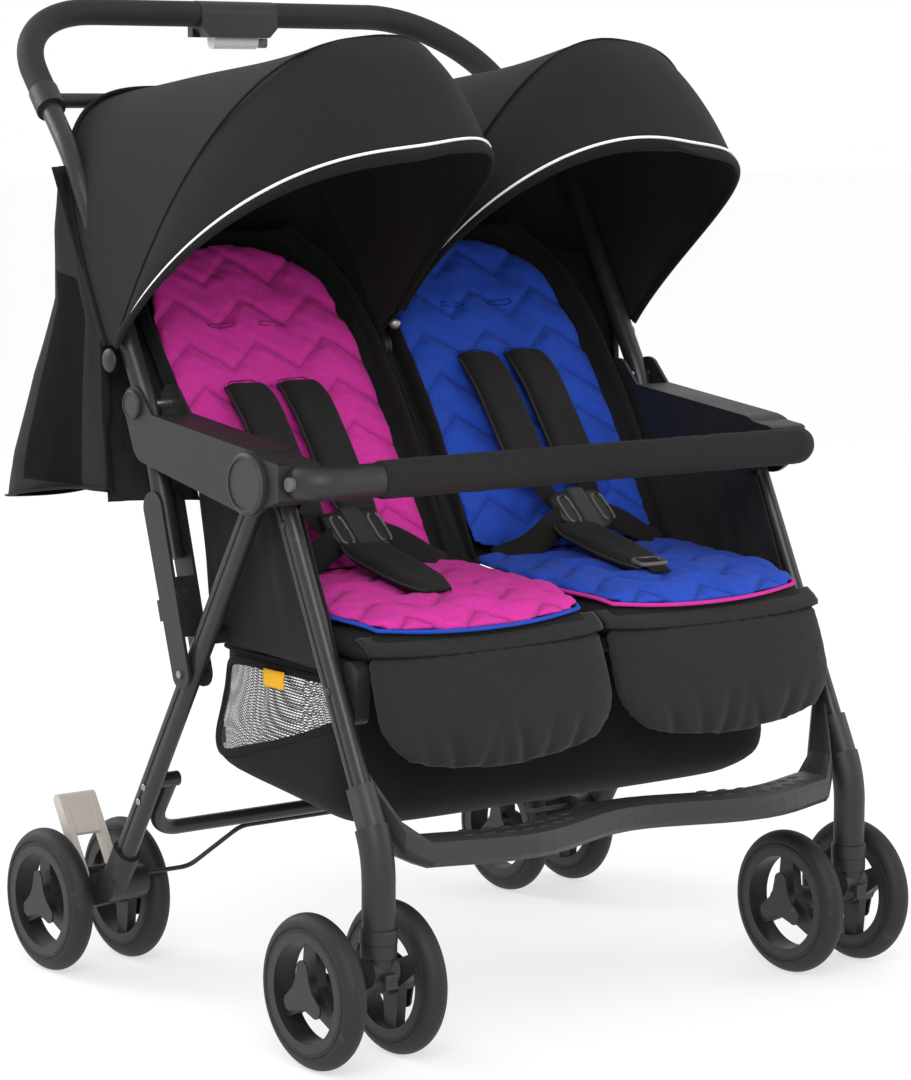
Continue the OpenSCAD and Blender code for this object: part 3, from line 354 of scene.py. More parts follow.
# %% Weave and grain
def weave_group():
    """Threads that cross: three sets of fine bands, of which the highest shows, with clouds and fibres."""
    inputs = {"Vector": None, "Colour": (0.02, 0.02, 0.02, 1), "Threads": 900.0, "Cloud": 0.25}
    group, given, result = new_group("weave", inputs, SURFACE)
    calc, where = partial(maths, group), given.outputs["Vector"]
    x, y, z = xyz(group, where)
    slope = calc("ADD", calc("MULTIPLY", y, 0.8), z)
    rise = calc("SUBTRACT", y, calc("MULTIPLY", z, 0.6))
    counts = [calc("MULTIPLY", s, given.outputs["Threads"]) for s in (x, slope, rise)]
    bands = [calc("SINE", calc("MULTIPLY", count, math.tau)) for count in counts]
    high = calc("MAXIMUM", calc("MAXIMUM", bands[0], bands[1]), bands[2])
    fibre, cloud = noise(group, where, 420.0, 3.0), noise(group, where, 9.0, 4.0)
    height = calc("ADD", calc("MULTIPLY", high, 0.5), fibre)
    shade = calc("MULTIPLY_ADD", calc("SUBTRACT", cloud, 0.5), given.outputs["Cloud"], 1.0)
    shade = calc("MULTIPLY_ADD", calc("SUBTRACT", fibre, 0.5), 0.5, shade)
    shade = calc("MULTIPLY_ADD", high, 0.06, shade)
    rough = calc("MULTIPLY_ADD", cloud, 0.12, 0.74)
    colour = tinted(group, given.outputs["Colour"], shade)
    give_out(group, result, Colour=colour, Height=height, Roughness=rough)
    return group


def grain_group():
    """Moulded or painted skin: fine pebble grain, cloudy sheen and a few pale scuffs."""
    inputs = {"Vector": None, "Colour": (0.03, 0.03, 0.03, 1), "Size": 900.0, "Scuff": 0.3, "Gloss": 0.45}
    group, given, result = new_group("grain", inputs, SURFACE)
    calc, where = partial(maths, group), given.outputs["Vector"]
    pebble = noise(group, where, given.outputs["Size"])
    cloud, scuff = noise(group, where, 14.0, 5.0), noise(group, where, 60.0, 6.0, 0.7)
    pale = calc("MULTIPLY", ramp(group, scuff, 0.60, 0.72), given.outputs["Scuff"])
    uneven = calc("SUBTRACT", cloud, 0.5)
    colour = tinted(group, given.outputs["Colour"], calc("MULTIPLY_ADD", uneven, 0.35, 1.0))
    colour = blend_colour(group, calc("MULTIPLY", pale, 0.16), colour, (0.5, 0.49, 0.47, 1))
    rough = calc("MULTIPLY_ADD", uneven, 0.22, given.outputs["Gloss"])
    rough = calc("MULTIPLY_ADD", pale, 0.12, rough)
    give_out(group, result, Colour=colour, Height=pebble, Roughness=rough)
    return group


WEAVE, GRAIN = weave_group(), grain_group()
print("shader groups:", [g.name for g in bpy.data.node_groups])

# %% [markdown]
# A colour in a shader is linear light, while colours are usually written as screen values, so one helper
# converts them. Another starts a material: it returns the tree, its Principled shader and the object's own
# coordinates, which stay with a piece wherever its body goes.

# %% Material helpers
def screen(red, green, blue):
    """Linear colour of a screen colour from 0 to 255: the standard curve, a power of 2.4 above its toe."""
    c = np.array([red, green, blue]) / 255
    c = np.where(c <= 0.04045, c / 12.92, ((c + 0.055) / 1.055)**2.4)
    return (*c.tolist(), 1.0)


def new_finish(name, colour, **constants):
    """A material with its Principled shader, whose constant values are set on its own sockets."""
    finish = bpy.data.materials.new(name)
    finish.use_nodes = True
    tree = finish.node_tree
    shader = tree.nodes["Principled BSDF"]
    for label, value in constants.items():
        shader.inputs[label.replace("_", " ")].default_value = value
    finish.diffuse_color = colour
    return finish, tree, shader, node(tree, "ShaderNodeTexCoord").outputs["Object"]


def use_bump(tree, shader, height, strength, distance):
    """Feeds a height into the shader's normal through a Bump node."""
    made = node(tree, "ShaderNodeBump", {"Height": height, "Strength": strength, "Distance": distance * MM})
    tree.links.new(made.outputs[0], shader.inputs["Normal"])


def dimmed(colour, share):
    """A colour with that share of its light."""
    return tuple(share * c for c in colour[:3]) + (1.0,)


def surface_finish(name, colour, group, values, strength, depth, **constants):
    """A material whose colour, roughness and bump come from one shader group with its own values."""
    finish, tree, shader, where = new_finish(name, colour, **constants)
    links = {"Vector": where, "Colour": colour, **values}
    surface = node(tree, "ShaderNodeGroup", links, node_tree=group).outputs
    tree.links.new(surface["Colour"], shader.inputs["Base Color"])
    tree.links.new(surface["Roughness"], shader.inputs["Roughness"])
    use_bump(tree, shader, surface["Height"], strength, depth)
    return finish


def cloth_finish(name, colour, threads=900.0, cloud=0.3, strength=0.5, depth=0.25, sheen=0.03):
    """Woven cloth: the weave group gives colour, roughness and bump, and a little sheen lifts its edges."""
    return surface_finish(name, colour, WEAVE, {"Threads": threads, "Cloud": cloud}, strength, depth,
                          Sheen_Weight=sheen, Sheen_Roughness=0.5, Specular_IOR_Level=0.1)


def skin_finish(name, colour, size=900.0, scuff=0.3, gloss=0.45, metallic=0.0, strength=0.25, depth=0.12):
    """Moulded plastic, paint, rubber or foam: the grain group with its own colour, grain size and gloss."""
    values = {"Size": size, "Scuff": scuff, "Gloss": gloss}
    return surface_finish(name, colour, GRAIN, values, strength, depth, Metallic=metallic,
                          Specular_IOR_Level=0.45)

# %% [markdown]
# Each plain finish is one line: its name and colour, the fineness of its grain or threads, how worn or
# cloudy it is, and its gloss or the strength of its bump.

# %% Plain finishes
tube_paint = skin_finish("charcoal_tube_paint", screen(46, 45, 44), 1600, 0.25, 0.34, 0.3, 0.12, 0.05)
black_plastic = skin_finish("black_moulded_plastic", screen(30, 30, 30), 1100, 0.25, 0.5)
grey_plastic = skin_finish("dark_grey_plastic", screen(44, 43, 43), 1100, 0.25, 0.48)
pale_plastic = skin_finish("light_grey_plastic", screen(205, 204, 201), 900, 0.3, 0.4)
pedal_plastic = skin_finish("warm_grey_pedal_plastic", screen(196, 188, 180), 900, 0.4, 0.45)
button_plastic = skin_finish("grey_button_plastic", screen(92, 91, 89), 1000, 0.3, 0.42)
steel = skin_finish("zinc_plated_steel", screen(150, 149, 147), 700, 0.4, 0.32, 0.9, 0.1, 0.05)
foam = skin_finish("black_foam_grip", screen(29, 28, 28), 620, 0.15, 0.78, 0.0, 0.7, 0.35)
cable_skin = skin_finish("black_cable_skin", screen(28, 28, 28), 800, 0.2, 0.5)
hood_cloth = cloth_finish("hood_polyester", screen(35, 34, 34), 820, 0.4)
seat_cloth = cloth_finish("seat_polyester", screen(29, 28, 28), 760, 0.4, 0.6)
# The side walls are the seat's black polyester made lighter: painted light for the lamp on the outer side.
side_cloth_painted_light = cloth_finish("side_panel_polyester_painted_light", screen(38, 35, 36), 760, 0.4)
pad_cloth = cloth_finish("calf_rest_polyester", screen(36, 35, 35), 760, 0.4, sheen=0.1)
binding_cloth = cloth_finish("black_binding_tape", screen(24, 24, 24), 520, 0.2, 0.8, 0.3)
# The piping is black cloth given a lighter grey: a painted sheen along the edges of the pads.
piping_painted_sheen = cloth_finish("piping_grey_painted_sheen", screen(50, 49, 49), 600, 0.2, 0.6, 0.2)
pad_cover = cloth_finish("harness_pad_polyester", screen(36, 35, 35), 760, 0.4)
webbing = cloth_finish("black_webbing", screen(24, 24, 25), 420, 0.2, 0.9, 0.4)
white_cord = cloth_finish("white_piping", screen(236, 236, 234), 700, 0.1, 0.4, 0.15)
yellow_tape = cloth_finish("yellow_tab_tape", screen(236, 176, 48), 620, 0.15, 0.5, 0.15)
print("finishes:", len(bpy.data.materials))

# %% [markdown]
# ## Quilted liner cloth
# The two seat liners are cotton quilted in a zigzag. The fold of the zigzag is in the mesh, and the sewing
# thread itself is too fine for a mesh, so the finish works it out from the flat place of each point: the
# distance to the nearest zigzag line gives the thread, and a fast wave along it cuts the thread to stitches.
# A band of painted shade darkens the cloth beside each line, where the seam's dip would lie in shadow.

# %% Zigzag stitching
ZIG_LENGTH, ZIG_HEIGHT, ZIG_PITCH = 86.0, 17.0, 52.0
# Beside each zigzag line the cloth gets a band of painted shade, 6 mm wide, where the seam's dip would lie in
# shadow.
THREAD_EDGE, SEAM_SHADE_WIDE, STITCHES_A_METRE = (0.5, 0.9), 6.0, 300.0
THREAD_SHADE, SEAM_PAINTED_SHADE, EDGE_BLUR = 0.55, 0.34, 0.0006


def zigzag(x):
    """A triangle wave from -1 to 1 with its peak at x = 0."""
    return 1 - 4 * abs((x / ZIG_LENGTH + 0.5) % 1 - 0.5)


def stitch_group():
    """Masks of zigzag lines on the flat cloth, in metres: the stitches, and painted shade in the dip beside
    them.
    """
    outputs = {"Thread": "NodeSocketFloat", "Seam": "NodeSocketFloat"}
    group, given, result = new_group("zigzag_stitch", {"Vector": None, "Start": 0.0}, outputs)
    calc = partial(maths, group)
    x, y, _ = xyz(group, given.outputs["Vector"])
    share = calc("FRACT", calc("MULTIPLY_ADD", x, 1 / (ZIG_LENGTH * MM), 10.5))
    wave = calc("MULTIPLY_ADD", calc("ABSOLUTE", calc("SUBTRACT", share, 0.5)), -4.0, 1.0)
    height = calc("SUBTRACT", y, given.outputs["Start"])
    height = calc("SUBTRACT", height, calc("MULTIPLY", wave, ZIG_HEIGHT * MM))
    line = calc("FRACT", calc("MULTIPLY_ADD", height, 1 / (ZIG_PITCH * MM), 20.5))
    far = calc("MULTIPLY", calc("ABSOLUTE", calc("SUBTRACT", line, 0.5)), ZIG_PITCH)
    thread = ramp(group, far, *THREAD_EDGE, 1.0, 0.0)
    dash = calc("GREATER_THAN", calc("FRACT", calc("MULTIPLY", x, STITCHES_A_METRE)), 0.3)
    # Painted shade: a mask that darkens the cloth within 6 mm of each line.
    seam = ramp(group, far, 0.0, SEAM_SHADE_WIDE, 1.0, 0.0)
    give_out(group, result, Thread=calc("MULTIPLY", thread, dash), Seam=seam)
    return group


STITCH = stitch_group()


def liner_finish(name, colour, under, start):
    """Quilted cotton: weave, dark zigzag thread, painted shade beside the seams, and the other colour below
    the edge of the pad.
    """
    finish, tree, shader, where = new_finish(name, colour, Sheen_Weight=0.05, Sheen_Roughness=0.5,
                                             Specular_IOR_Level=0.1)
    calc = partial(maths, tree)
    weave = node(tree, "ShaderNodeGroup", {"Vector": where, "Threads": 700.0, "Cloud": 0.3}, node_tree=WEAVE)
    cut = node(tree, "ShaderNodeAttribute", attribute_name="cut").outputs["Vector"]
    above = ramp(tree, xyz(tree, cut)[2], -EDGE_BLUR, EDGE_BLUR)
    sewn = node(tree, "ShaderNodeGroup", {"Vector": cut, "Start": start}, node_tree=STITCH).outputs
    tree.links.new(blend_colour(tree, above, under, colour), weave.inputs["Colour"])
    dark = calc("MULTIPLY", calc("MULTIPLY", sewn["Thread"], above), THREAD_SHADE)
    shade = blend_colour(tree, dark, weave.outputs["Colour"], dimmed(colour, 0.18))
    # Painted shade: beside each seam the cloth is dimmed towards 0.3 of its colour.
    shade = blend_colour(tree, calc("MULTIPLY", sewn["Seam"], SEAM_PAINTED_SHADE), shade, dimmed(colour, 0.3))
    tree.links.new(shade, shader.inputs["Base Color"])
    tree.links.new(weave.outputs["Roughness"], shader.inputs["Roughness"])
    use_bump(tree, shader, calc("SUBTRACT", weave.outputs["Height"], sewn["Thread"]), 0.45, 0.3)
    return finish


MAGENTA, BLUE = screen(196, 50, 147), screen(36, 71, 173)
print("zigzag:", ZIG_LENGTH, "mm long,", ZIG_PITCH, "mm apart")

# %% [markdown]
# ## Netting
# The basket's windows and the aprons are netting. Real holes would need far too many faces, so the finish
# makes them see-through: two crossed waves on the flat place of the cloth leave round holes in a diamond net.

# %% Net finish
HOLE_EDGE = 0.04


def net_finish(name, colour, mesh_size, hole):
    """Netting: alpha is 0 inside the holes of a diamond grid of that mesh size in millimetres."""
    finish, tree, shader, where = new_finish(name, colour, Roughness=0.8, Specular_IOR_Level=0.06)
    calc = partial(maths, tree)
    cut = node(tree, "ShaderNodeAttribute", attribute_name="cut").outputs["Vector"]
    u, v, _ = xyz(tree, cut)
    rate = math.pi / (mesh_size * MM)
    a, b = (calc("COSINE", calc("MULTIPLY", calc(way, u, v), rate)) for way in ("ADD", "SUBTRACT"))
    open_share = calc("MULTIPLY", calc("ABSOLUTE", a), calc("ABSOLUTE", b))
    alpha = ramp(tree, open_share, hole - HOLE_EDGE, hole + HOLE_EDGE, 1.0, 0.0)
    fibres = blend_colour(tree, noise(tree, where, 260.0), dimmed(colour, 0.6), colour)
    tree.links.new(fibres, shader.inputs["Base Color"])
    tree.links.new(alpha, shader.inputs["Alpha"])
    return finish


basket_net = net_finish("basket_net", screen(92, 90, 87), 3.2, 0.36)
apron_net = net_finish("apron_net", screen(20, 16, 16), 2.4, 0.9)
print("nets:", basket_net.name, apron_net.name)

# %% [markdown]
# ## Wheels
# A wheel is a soft tyre on a hard rim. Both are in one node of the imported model, so its finish tells them
# apart by the distance from the axle, which stays right while the wheel turns because object coordinates
# turn with it. A tyre also shows fine mould lines round its tread.

# %% Wheel finish
TYRE_FROM, TREAD_FROM, TREAD_PITCH = 59.1, 75.2, 2.6
RIM_SKIN, TYRE_SKIN = (screen(38, 37, 37), 1100.0, 0.46), (screen(27, 27, 28), 700.0, 0.6)
FRONT_AXLE_Y, REAR_AXLE_Y, AXLE_HEIGHT = -300.5, 189.5, 77.0


def wheel_finish(name, axle_y, axle_z):
    """Rubber outside the rim radius and plastic inside it, by the distance from the axle line."""
    finish, tree, shader, where = new_finish(name, screen(36, 36, 37), Specular_IOR_Level=0.4)
    calc = partial(maths, tree)
    x, y, z = xyz(tree, where)
    off = [calc("SUBTRACT", w, at * MM) for w, at in ((y, axle_y), (z, axle_z))]
    far = calc("SQRT", calc("ADD", *(calc("POWER", w, 2.0) for w in off)))
    tyre = calc("GREATER_THAN", far, TYRE_FROM * MM)
    skins = []
    for colour, size, gloss in (RIM_SKIN, TYRE_SKIN):
        values = {"Vector": where, "Colour": colour, "Size": size, "Gloss": gloss, "Scuff": 0.35}
        skins.append(node(tree, "ShaderNodeGroup", values, node_tree=GRAIN).outputs)
    rim, rubber = skins
    tree.links.new(blend_colour(tree, tyre, rim["Colour"], rubber["Colour"]), shader.inputs["Base Color"])
    rough = node(tree, "ShaderNodeMix", {0: tyre, 2: rim["Roughness"], 3: rubber["Roughness"]}).outputs[0]
    tree.links.new(rough, shader.inputs["Roughness"])
    lines = calc("SINE", calc("MULTIPLY", x, math.tau / (TREAD_PITCH * MM)))
    lines = calc("MULTIPLY", lines, calc("GREATER_THAN", far, TREAD_FROM * MM))
    use_bump(tree, shader, calc("MULTIPLY_ADD", lines, 0.8, rubber["Height"]), 0.3, 0.25)
    return finish


front_wheel = wheel_finish("front_wheel_rubber_and_plastic", FRONT_AXLE_Y, AXLE_HEIGHT)
rear_wheel = wheel_finish("rear_wheel_rubber_and_plastic", REAR_AXLE_Y, AXLE_HEIGHT)
print("tyres start", TYRE_FROM, "mm from the axle")

# %% [markdown]
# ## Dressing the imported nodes
# Rigid nodes keep their own shape and only get a finish. The names say which finish each one takes.

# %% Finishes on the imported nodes
NODE_FINISH = {
    tube_paint: "rear_leg front_leg push_bar rear_cross_tube seat_frame",
    black_plastic: "rear_hubs front_shoes caster_left caster_right armrest bumper_bar "
                   "handle_housing cross_brace buckle lock_links brake_arm",
    grey_plastic: "footrest pivot_caps caster_lock buckle_button",
    pale_plastic: "fold_trigger",
    button_plastic: "fold_slider bumper_button",
    pedal_plastic: "brake_pedal",
    steel: "rear_axles frame_rivets fold_pins",
    foam: "handle_grip",
    cable_skin: "brake_cable",
    front_wheel: "front_wheel",
    rear_wheel: "rear_wheel",
    seat_cloth: "seat_left seat_right seat_sides seat_back basket harness calf_rest bumper_cover "
                "hood rear_drapes",
}
for finish, starts in NODE_FINISH.items():
    for start in sorted(starts.split(), key=len):
        for name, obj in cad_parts.items():
            if name.startswith(start):
                obj.data.materials.clear()
                obj.data.materials.append(finish)
print("nodes with a finish:", sum(bool(o.data.materials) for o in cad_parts.values()))

# %% [markdown]
# ## Places on the frame
# Soft pieces are worked out flat, in their own width, length and thickness, and then set on the frame: the
# seat is nearly level, the backrest leans back and the calf rest hangs from the front rail. One function
# turns flat points about the cross axis and moves them to their place.

# %% Places of the pads
SIDES = {"left": -1, "right": 1}
SEAT_TILT, BACK_TURN, CALF_TURN = np.radians([4.5, 57, 72]).tolist()
SEAT_AT, BACK_AT, CALF_AT = (150.0, -185.0, 413.0), (156.0, -56.0, 428.0), (151.0, -280.0, 378.0)
print("seat, back and calf rest turned by", np.degrees([SEAT_TILT, BACK_TURN, CALF_TURN]).round(1), "degrees")


def set_on(flat, at, turn, side):
    """Turns flat points (across, along, out) about X by turn and moves them to a place on one side."""
    c, s = math.cos(turn), math.sin(turn)
    x, y, z = flat[..., 0], flat[..., 1], flat[..., 2]
    return np.stack([side * at[0] + x, at[1] + c * y - s * z, at[2] + s * y + c * z], -1)

# %% [markdown]
# A pad starts as the square from -1 to 1, whose corners are drawn in to round its ends. Its crown falls to 0
# on the seam, and the quilting is 0 on the zigzag lines and 1 between them, like a row of half circles.

# %% Outlines and quilting
EDGE_SHARE = 0.55
GATHER, GROOVE, PULL, WAVE = 1.1, 3.4, 2.0, 2.2


def rounded(a, b, width, length, low, high):
    """Maps the square -1..1 to a pad outline: each end is rounded by its share, 0 square to 1 round."""
    k = np.where(b < 0, low, high)
    return width / 2 * a * np.sqrt(1 - k * b * b / 2), length / 2 * b * np.sqrt(1 - k * a * a / 2)


def square(rows, columns):
    """A grid of the square -1..1, closer together at its edges, where pads curve most."""
    lines = [np.linspace(-1, 1, n) for n in (columns, rows)]
    return np.meshgrid(*(EDGE_SHARE * np.sin(np.pi / 2 * t) + (1 - EDGE_SHARE) * t for t in lines))


def pillow(a, b, steep=5.0):
    """Crown of a stuffed pad: 1 in the middle and 0 on the seam, falling steeply near the edge."""
    return np.sqrt(np.clip((1 - abs(a)**steep) * (1 - abs(b)**steep), 0, 1))


def seam_gap(x, y, start):
    """Distance from the nearest zigzag line as a share of the pitch, from -0.5 to 0.5."""
    return ((y - start - ZIG_HEIGHT * zigzag(x)) / ZIG_PITCH + 0.5) % 1 - 0.5


def quilting(x, y, start):
    """How far the cloth lies above the stitching, from 0 on a zigzag line to 1 between two lines."""
    far = abs(seam_gap(x, y, start)) * 2
    return np.sqrt(np.clip(1 - (1 - far)**2, 0, 1))


def wrinkles(flat, start, seed):
    """Height of the creases left by sewing: a groove at each seam, gathers, pulls and soft waves."""
    x, y = flat[:, 0], flat[:, 1]
    far = seam_gap(x, y, start) * ZIG_PITCH
    gathers = np.exp(-(far / 12)**2) * np.sin(2 * np.pi * x / 23 + 3.0 * ripple(x / 70, y / 50, seed))
    groove = np.exp(-(far / 5.5)**2)
    tension = np.clip(ripple(x / 55, y / 40, seed + 2, low=1.0, high=3.0), -1, 1)
    pull = np.exp(-((abs(far) - 14) / 9)**2) * tension
    waves = ripple(x / 130, y / 90, seed + 1, low=0.8, high=2.4)
    return GATHER * gathers - GROOVE * groove + PULL * pull + WAVE * waves

# %% [markdown]
# ## Cloth simulation for the padding
# Real padding pulls its cover tight between the seams. The pad is copied, remeshed into even small cells and
# blown up by Blender's cloth with pressure and no gravity. Points on the stitching are pinned, so the cloth
# swells between the seams and puckers along them. How far a point may go is capped, and the result is kept.

# %% Plump a pad
CLOTH_QUALITY, CLOTH_MASS, CLOTH_STIFFNESS = 6, 0.2, 12


def mesh_points(mesh):
    """The points of a mesh as an array, in metres."""
    co = np.empty(len(mesh.vertices) * 3)
    mesh.vertices.foreach_get("co", co)
    return co.reshape(-1, 3)


def shown_object(piece):
    """A piece as it is after its modifiers."""
    return piece.evaluated_get(bpy.context.evaluated_depsgraph_get())


def plump(piece, pinned, voxel=5.0, pressure=4.0, cap=6.0, frames=20):
    """Remeshes a pad and inflates it as cloth, with the points of pinned(points) held and moves capped."""
    scene = bpy.context.scene
    remesh = piece.modifiers.new("even", "REMESH")
    remesh.mode, remesh.voxel_size = "VOXEL", voxel * MM
    even = bpy.data.meshes.new_from_object(shown_object(piece))
    piece.modifiers.clear()
    start = mesh_points(even)
    work = linked("work", even)
    held = work.vertex_groups.new(name="held")
    held.add(np.flatnonzero(pinned(start / MM)).tolist(), 1.0, "ADD")
    cloth = work.modifiers.new("cloth", "CLOTH")
    cloth.settings.quality, cloth.settings.mass = CLOTH_QUALITY, CLOTH_MASS
    cloth.settings.tension_stiffness = cloth.settings.compression_stiffness = CLOTH_STIFFNESS
    cloth.settings.use_pressure, cloth.settings.uniform_pressure_force = True, pressure
    cloth.settings.vertex_group_mass = "held"
    cloth.settings.effector_weights.gravity = 0
    cloth.collision_settings.use_collision = False
    cloth.point_cache.frame_end = frames
    for step in range(1, frames + 1):
        scene.frame_set(step)
    move = mesh_points(shown_object(work).data) - start
    size = np.linalg.norm(move, axis=1, keepdims=True)
    move *= np.minimum(1, cap * MM / np.maximum(size, 1e-9))
    even.vertices.foreach_set("co", (start + move).ravel())
    bpy.data.objects.remove(work)
    scene.frame_set(1)
    even.materials.append(piece.data.materials[0])
    even.polygons.foreach_set("use_smooth", np.ones(len(even.polygons), bool))
    piece.data = even
    print(f"{piece.name}: {len(start)} cloth points, moved up to {size.max() * 1000:.1f} mm")
    return piece

# %% [markdown]
# After the simulation the points are found again on the flat pad, so that creases and stitching can follow
# the seams. The right pad is a mirror image of the left one.

# %% Points of a pad
def points_of(piece):
    """The mesh points of a piece as an array, in millimetres."""
    return mesh_points(piece.data) / MM


def flat_places(points, at, turn, side):
    """The reverse of set_on: where points of the frame lie on the flat pad."""
    c, s = math.cos(turn), math.sin(turn)
    x, y, z = points[:, 0] - side * at[0], points[:, 1] - at[1], points[:, 2] - at[2]
    return np.stack([x, c * y + s * z, c * z - s * y], 1)


def store_cut(piece, flat):
    """Keeps the flat place of each point, in metres, for the stitching of the finish."""
    layer = piece.data.attributes.get("cut") or piece.data.attributes.new("cut", "FLOAT_VECTOR", "POINT")
    layer.data.foreach_set("vector", (flat * MM).astype(np.float32).ravel())


def crease_pad(piece, height, turn):
    """Moves points out from the pad by a height in millimetres."""
    points = points_of(piece) + height[:, None] * np.array([0, -math.sin(turn), math.cos(turn)])
    piece.data.vertices.foreach_set("co", (points * MM).ravel())


def mirrored(piece, name, finish):
    """A copy of a piece on the other side, its faces turned so that they still look outwards."""
    mesh = piece.data.copy()
    mesh.transform(Matrix.Scale(-1, 4, (1, 0, 0)))
    mesh.flip_normals()
    mesh.materials.clear()
    mesh.materials.append(finish)
    return linked(name, mesh)


def soften(piece):
    """One live subdivision, the same in view and render."""
    made = piece.modifiers.new("soft", "SUBSURF")
    made.levels = made.render_levels = 1

# %% [markdown]
# ## Seat liners
# Each liner is one quilted mat that runs down the backrest and over the seat. It is made in two pieces that
# meet in the crease, because the backrest reclines. The mat is thin at its edge, its cloth lies deep on the
# zigzag seams, and its front lip droops over the front rail. The lower face has the other liner's colour.

# %% Seat pads
LINER = {"left": (MAGENTA, BLUE), "right": (BLUE, MAGENTA)}
SEAT_WIDE, SEAT_LONG, SEAT_START, SEAT_SEAM = 296.0, 238.0, -8.0, 21.0
SEAT_ENDS, LIP_DROOP, STITCHED = (0.5, 0.12), 9, 0.42
SEAT_CROWN, SEAT_PUFF, SEAT_UNDER = 7.0, 3.2, 6.0


def seat_droop(x, y):
    """How far the mat hangs down at its front lip, less at its two corners."""
    return LIP_DROOP * ease((-2 * y / SEAT_LONG - 0.5) / 0.5)**2 * (1 - 0.5 * (2 * x / SEAT_WIDE)**2)


def seat_pad():
    """Top and bottom of the seat liner: crown and quilting above the seam, and a flat mat below it."""
    a, b = square(101, 121)
    x, y = rounded(a, b, SEAT_WIDE, SEAT_LONG, *SEAT_ENDS)
    droop = seat_droop(x, y)
    crown = pillow(a, b, 7)
    puff = quilting(x, y, SEAT_START) * crown
    top = np.stack([x, y, SEAT_SEAM + SEAT_CROWN * crown + SEAT_PUFF * puff - droop], -1)
    low = np.stack([x, y, SEAT_SEAM - SEAT_UNDER * crown - droop], -1)
    return top, low


def seat_pinned(points):
    """True on the zigzag seams and below the mat."""
    x, y, z = flat_places(points, SEAT_AT, SEAT_TILT, -1).T
    return (quilting(x, y, SEAT_START) < STITCHED) | (z + seat_droop(x, y) < SEAT_SEAM - 1)


def liner_pair(kind, grids, at, turn, pinned, start):
    """Both liners of a kind: the left one is simulated, and the right one is its mirror image."""
    points, faces = cushion(*(set_on(g, at, turn, -1) for g in grids))
    finish = {s: liner_finish(f"{s}_{kind}_liner", *LINER[s], start * MM) for s in SIDES}
    left = plump(new_piece(f"{kind}_pad_left", points, faces, finish["left"]), pinned)
    return {"left": left, "right": mirrored(left, f"{kind}_pad_right", finish["right"])}


def crease_liner(piece, flat, lift, start, seed, turn):
    """Creases above the seam, the flat place of each point for the stitching, and one live subdivision."""
    crease_pad(piece, wrinkles(flat, start, seed) * ease(lift / 5), turn)
    store_cut(piece, np.stack([flat[:, 0], flat[:, 1], lift + 1.5], 1))
    soften(piece)


def lip_edge(name, side):
    """A thin rod under the front and the sides of the mat, in the other liner's colour."""
    run = np.linspace(-1, 1, 41)
    a, b = np.concatenate([-1 + 0 * run, run, 1 + 0 * run]), np.concatenate([-run, -1 + 0 * run, run])
    x, y = rounded(a, np.minimum(b, 0.6), SEAT_WIDE - 2, SEAT_LONG - 2, *SEAT_ENDS)
    edge = np.stack([x, y, SEAT_SEAM - 2.6 - seat_droop(x, y)], 1)[8:-8]
    under = cloth_finish(f"{name}_liner_underside", LINER[name][1], 700)
    path = set_on(edge, SEAT_AT, SEAT_TILT, side)
    return rod_piece(f"seat_underside_{name}", path, oval_profile(4.4, 4.4, 8), (0, 0, 1), under)


seat_pieces = liner_pair("seat", seat_pad(), SEAT_AT, SEAT_TILT, seat_pinned, SEAT_START)
for name, side in SIDES.items():
    piece = seat_pieces[name]
    flat = flat_places(points_of(piece), SEAT_AT, SEAT_TILT, side)
    lift = flat[:, 2] + seat_droop(flat[:, 0], flat[:, 1]) - SEAT_SEAM
    crease_liner(piece, flat, lift, SEAT_START, 61, SEAT_TILT)
    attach(piece, "rear_frame")
    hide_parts(f"seat_{name}")
    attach(lip_edge(name, side), "rear_frame")

# %% [markdown]
# The backrest's liner has a round head, and its edges curl forward a little, so that it holds a child. It is
# made in the same way as the seat's liner and leans back with its own body.

# %% Back pads
BACK_WIDE, BACK_LONG, BACK_FOOT = 262.0, 396.0, 16.0
BACK_START, BACK_SEAM, BACK_CURL = 62.0, 5.0, 7
BACK_CROWN, BACK_PUFF, BACK_UNDER = 6.0, 3.4, 5.0


def back_curl(across):
    """How far the mat stands forward at a share of its half width: a cube, so only the edges curl."""
    return BACK_CURL * abs(across)**3


def back_pad():
    """Front and back of the backrest liner: a rounded head, quilting, and edges that curl forward."""
    a, b = square(161, 121)
    x, y = rounded(a, b, BACK_WIDE, BACK_LONG, 0.12, 0.72)
    y = y + BACK_FOOT + BACK_LONG / 2
    crown = pillow(a, b, 8)
    puff = quilting(x, y, BACK_START) * crown
    top = np.stack([x, y, BACK_SEAM + BACK_CROWN * crown + BACK_PUFF * puff + back_curl(a)], -1)
    low = np.stack([x, y, BACK_SEAM - BACK_UNDER * crown + back_curl(a)], -1)
    return top, low


def back_lift(flat):
    """Height of flat points above the seam."""
    return flat[:, 2] - back_curl(flat[:, 0] / (BACK_WIDE / 2)) - BACK_SEAM


def back_pinned(points):
    """True on the zigzag seams and on the rear face."""
    flat = flat_places(points, BACK_AT, BACK_TURN, -1)
    return (quilting(flat[:, 0], flat[:, 1], BACK_START) < STITCHED) | (back_lift(flat) < -1)


back_pieces = liner_pair("back", back_pad(), BACK_AT, BACK_TURN, back_pinned, BACK_START)
for name, side in SIDES.items():
    piece = back_pieces[name]
    flat = flat_places(points_of(piece), BACK_AT, BACK_TURN, side)
    crease_liner(piece, flat, back_lift(flat), BACK_START, 71, BACK_TURN)
    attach(piece, f"seat_back_{name}")
    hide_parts(f"seat_back_{name}")

# %% [markdown]
# ## Black seat cloth
# Behind each liner hangs the seat itself, a sling of black polyester. Its back is a little wider than the
# liner and its edges turn forward as low wings. Under the seat liner the sling is a shallow cushion.

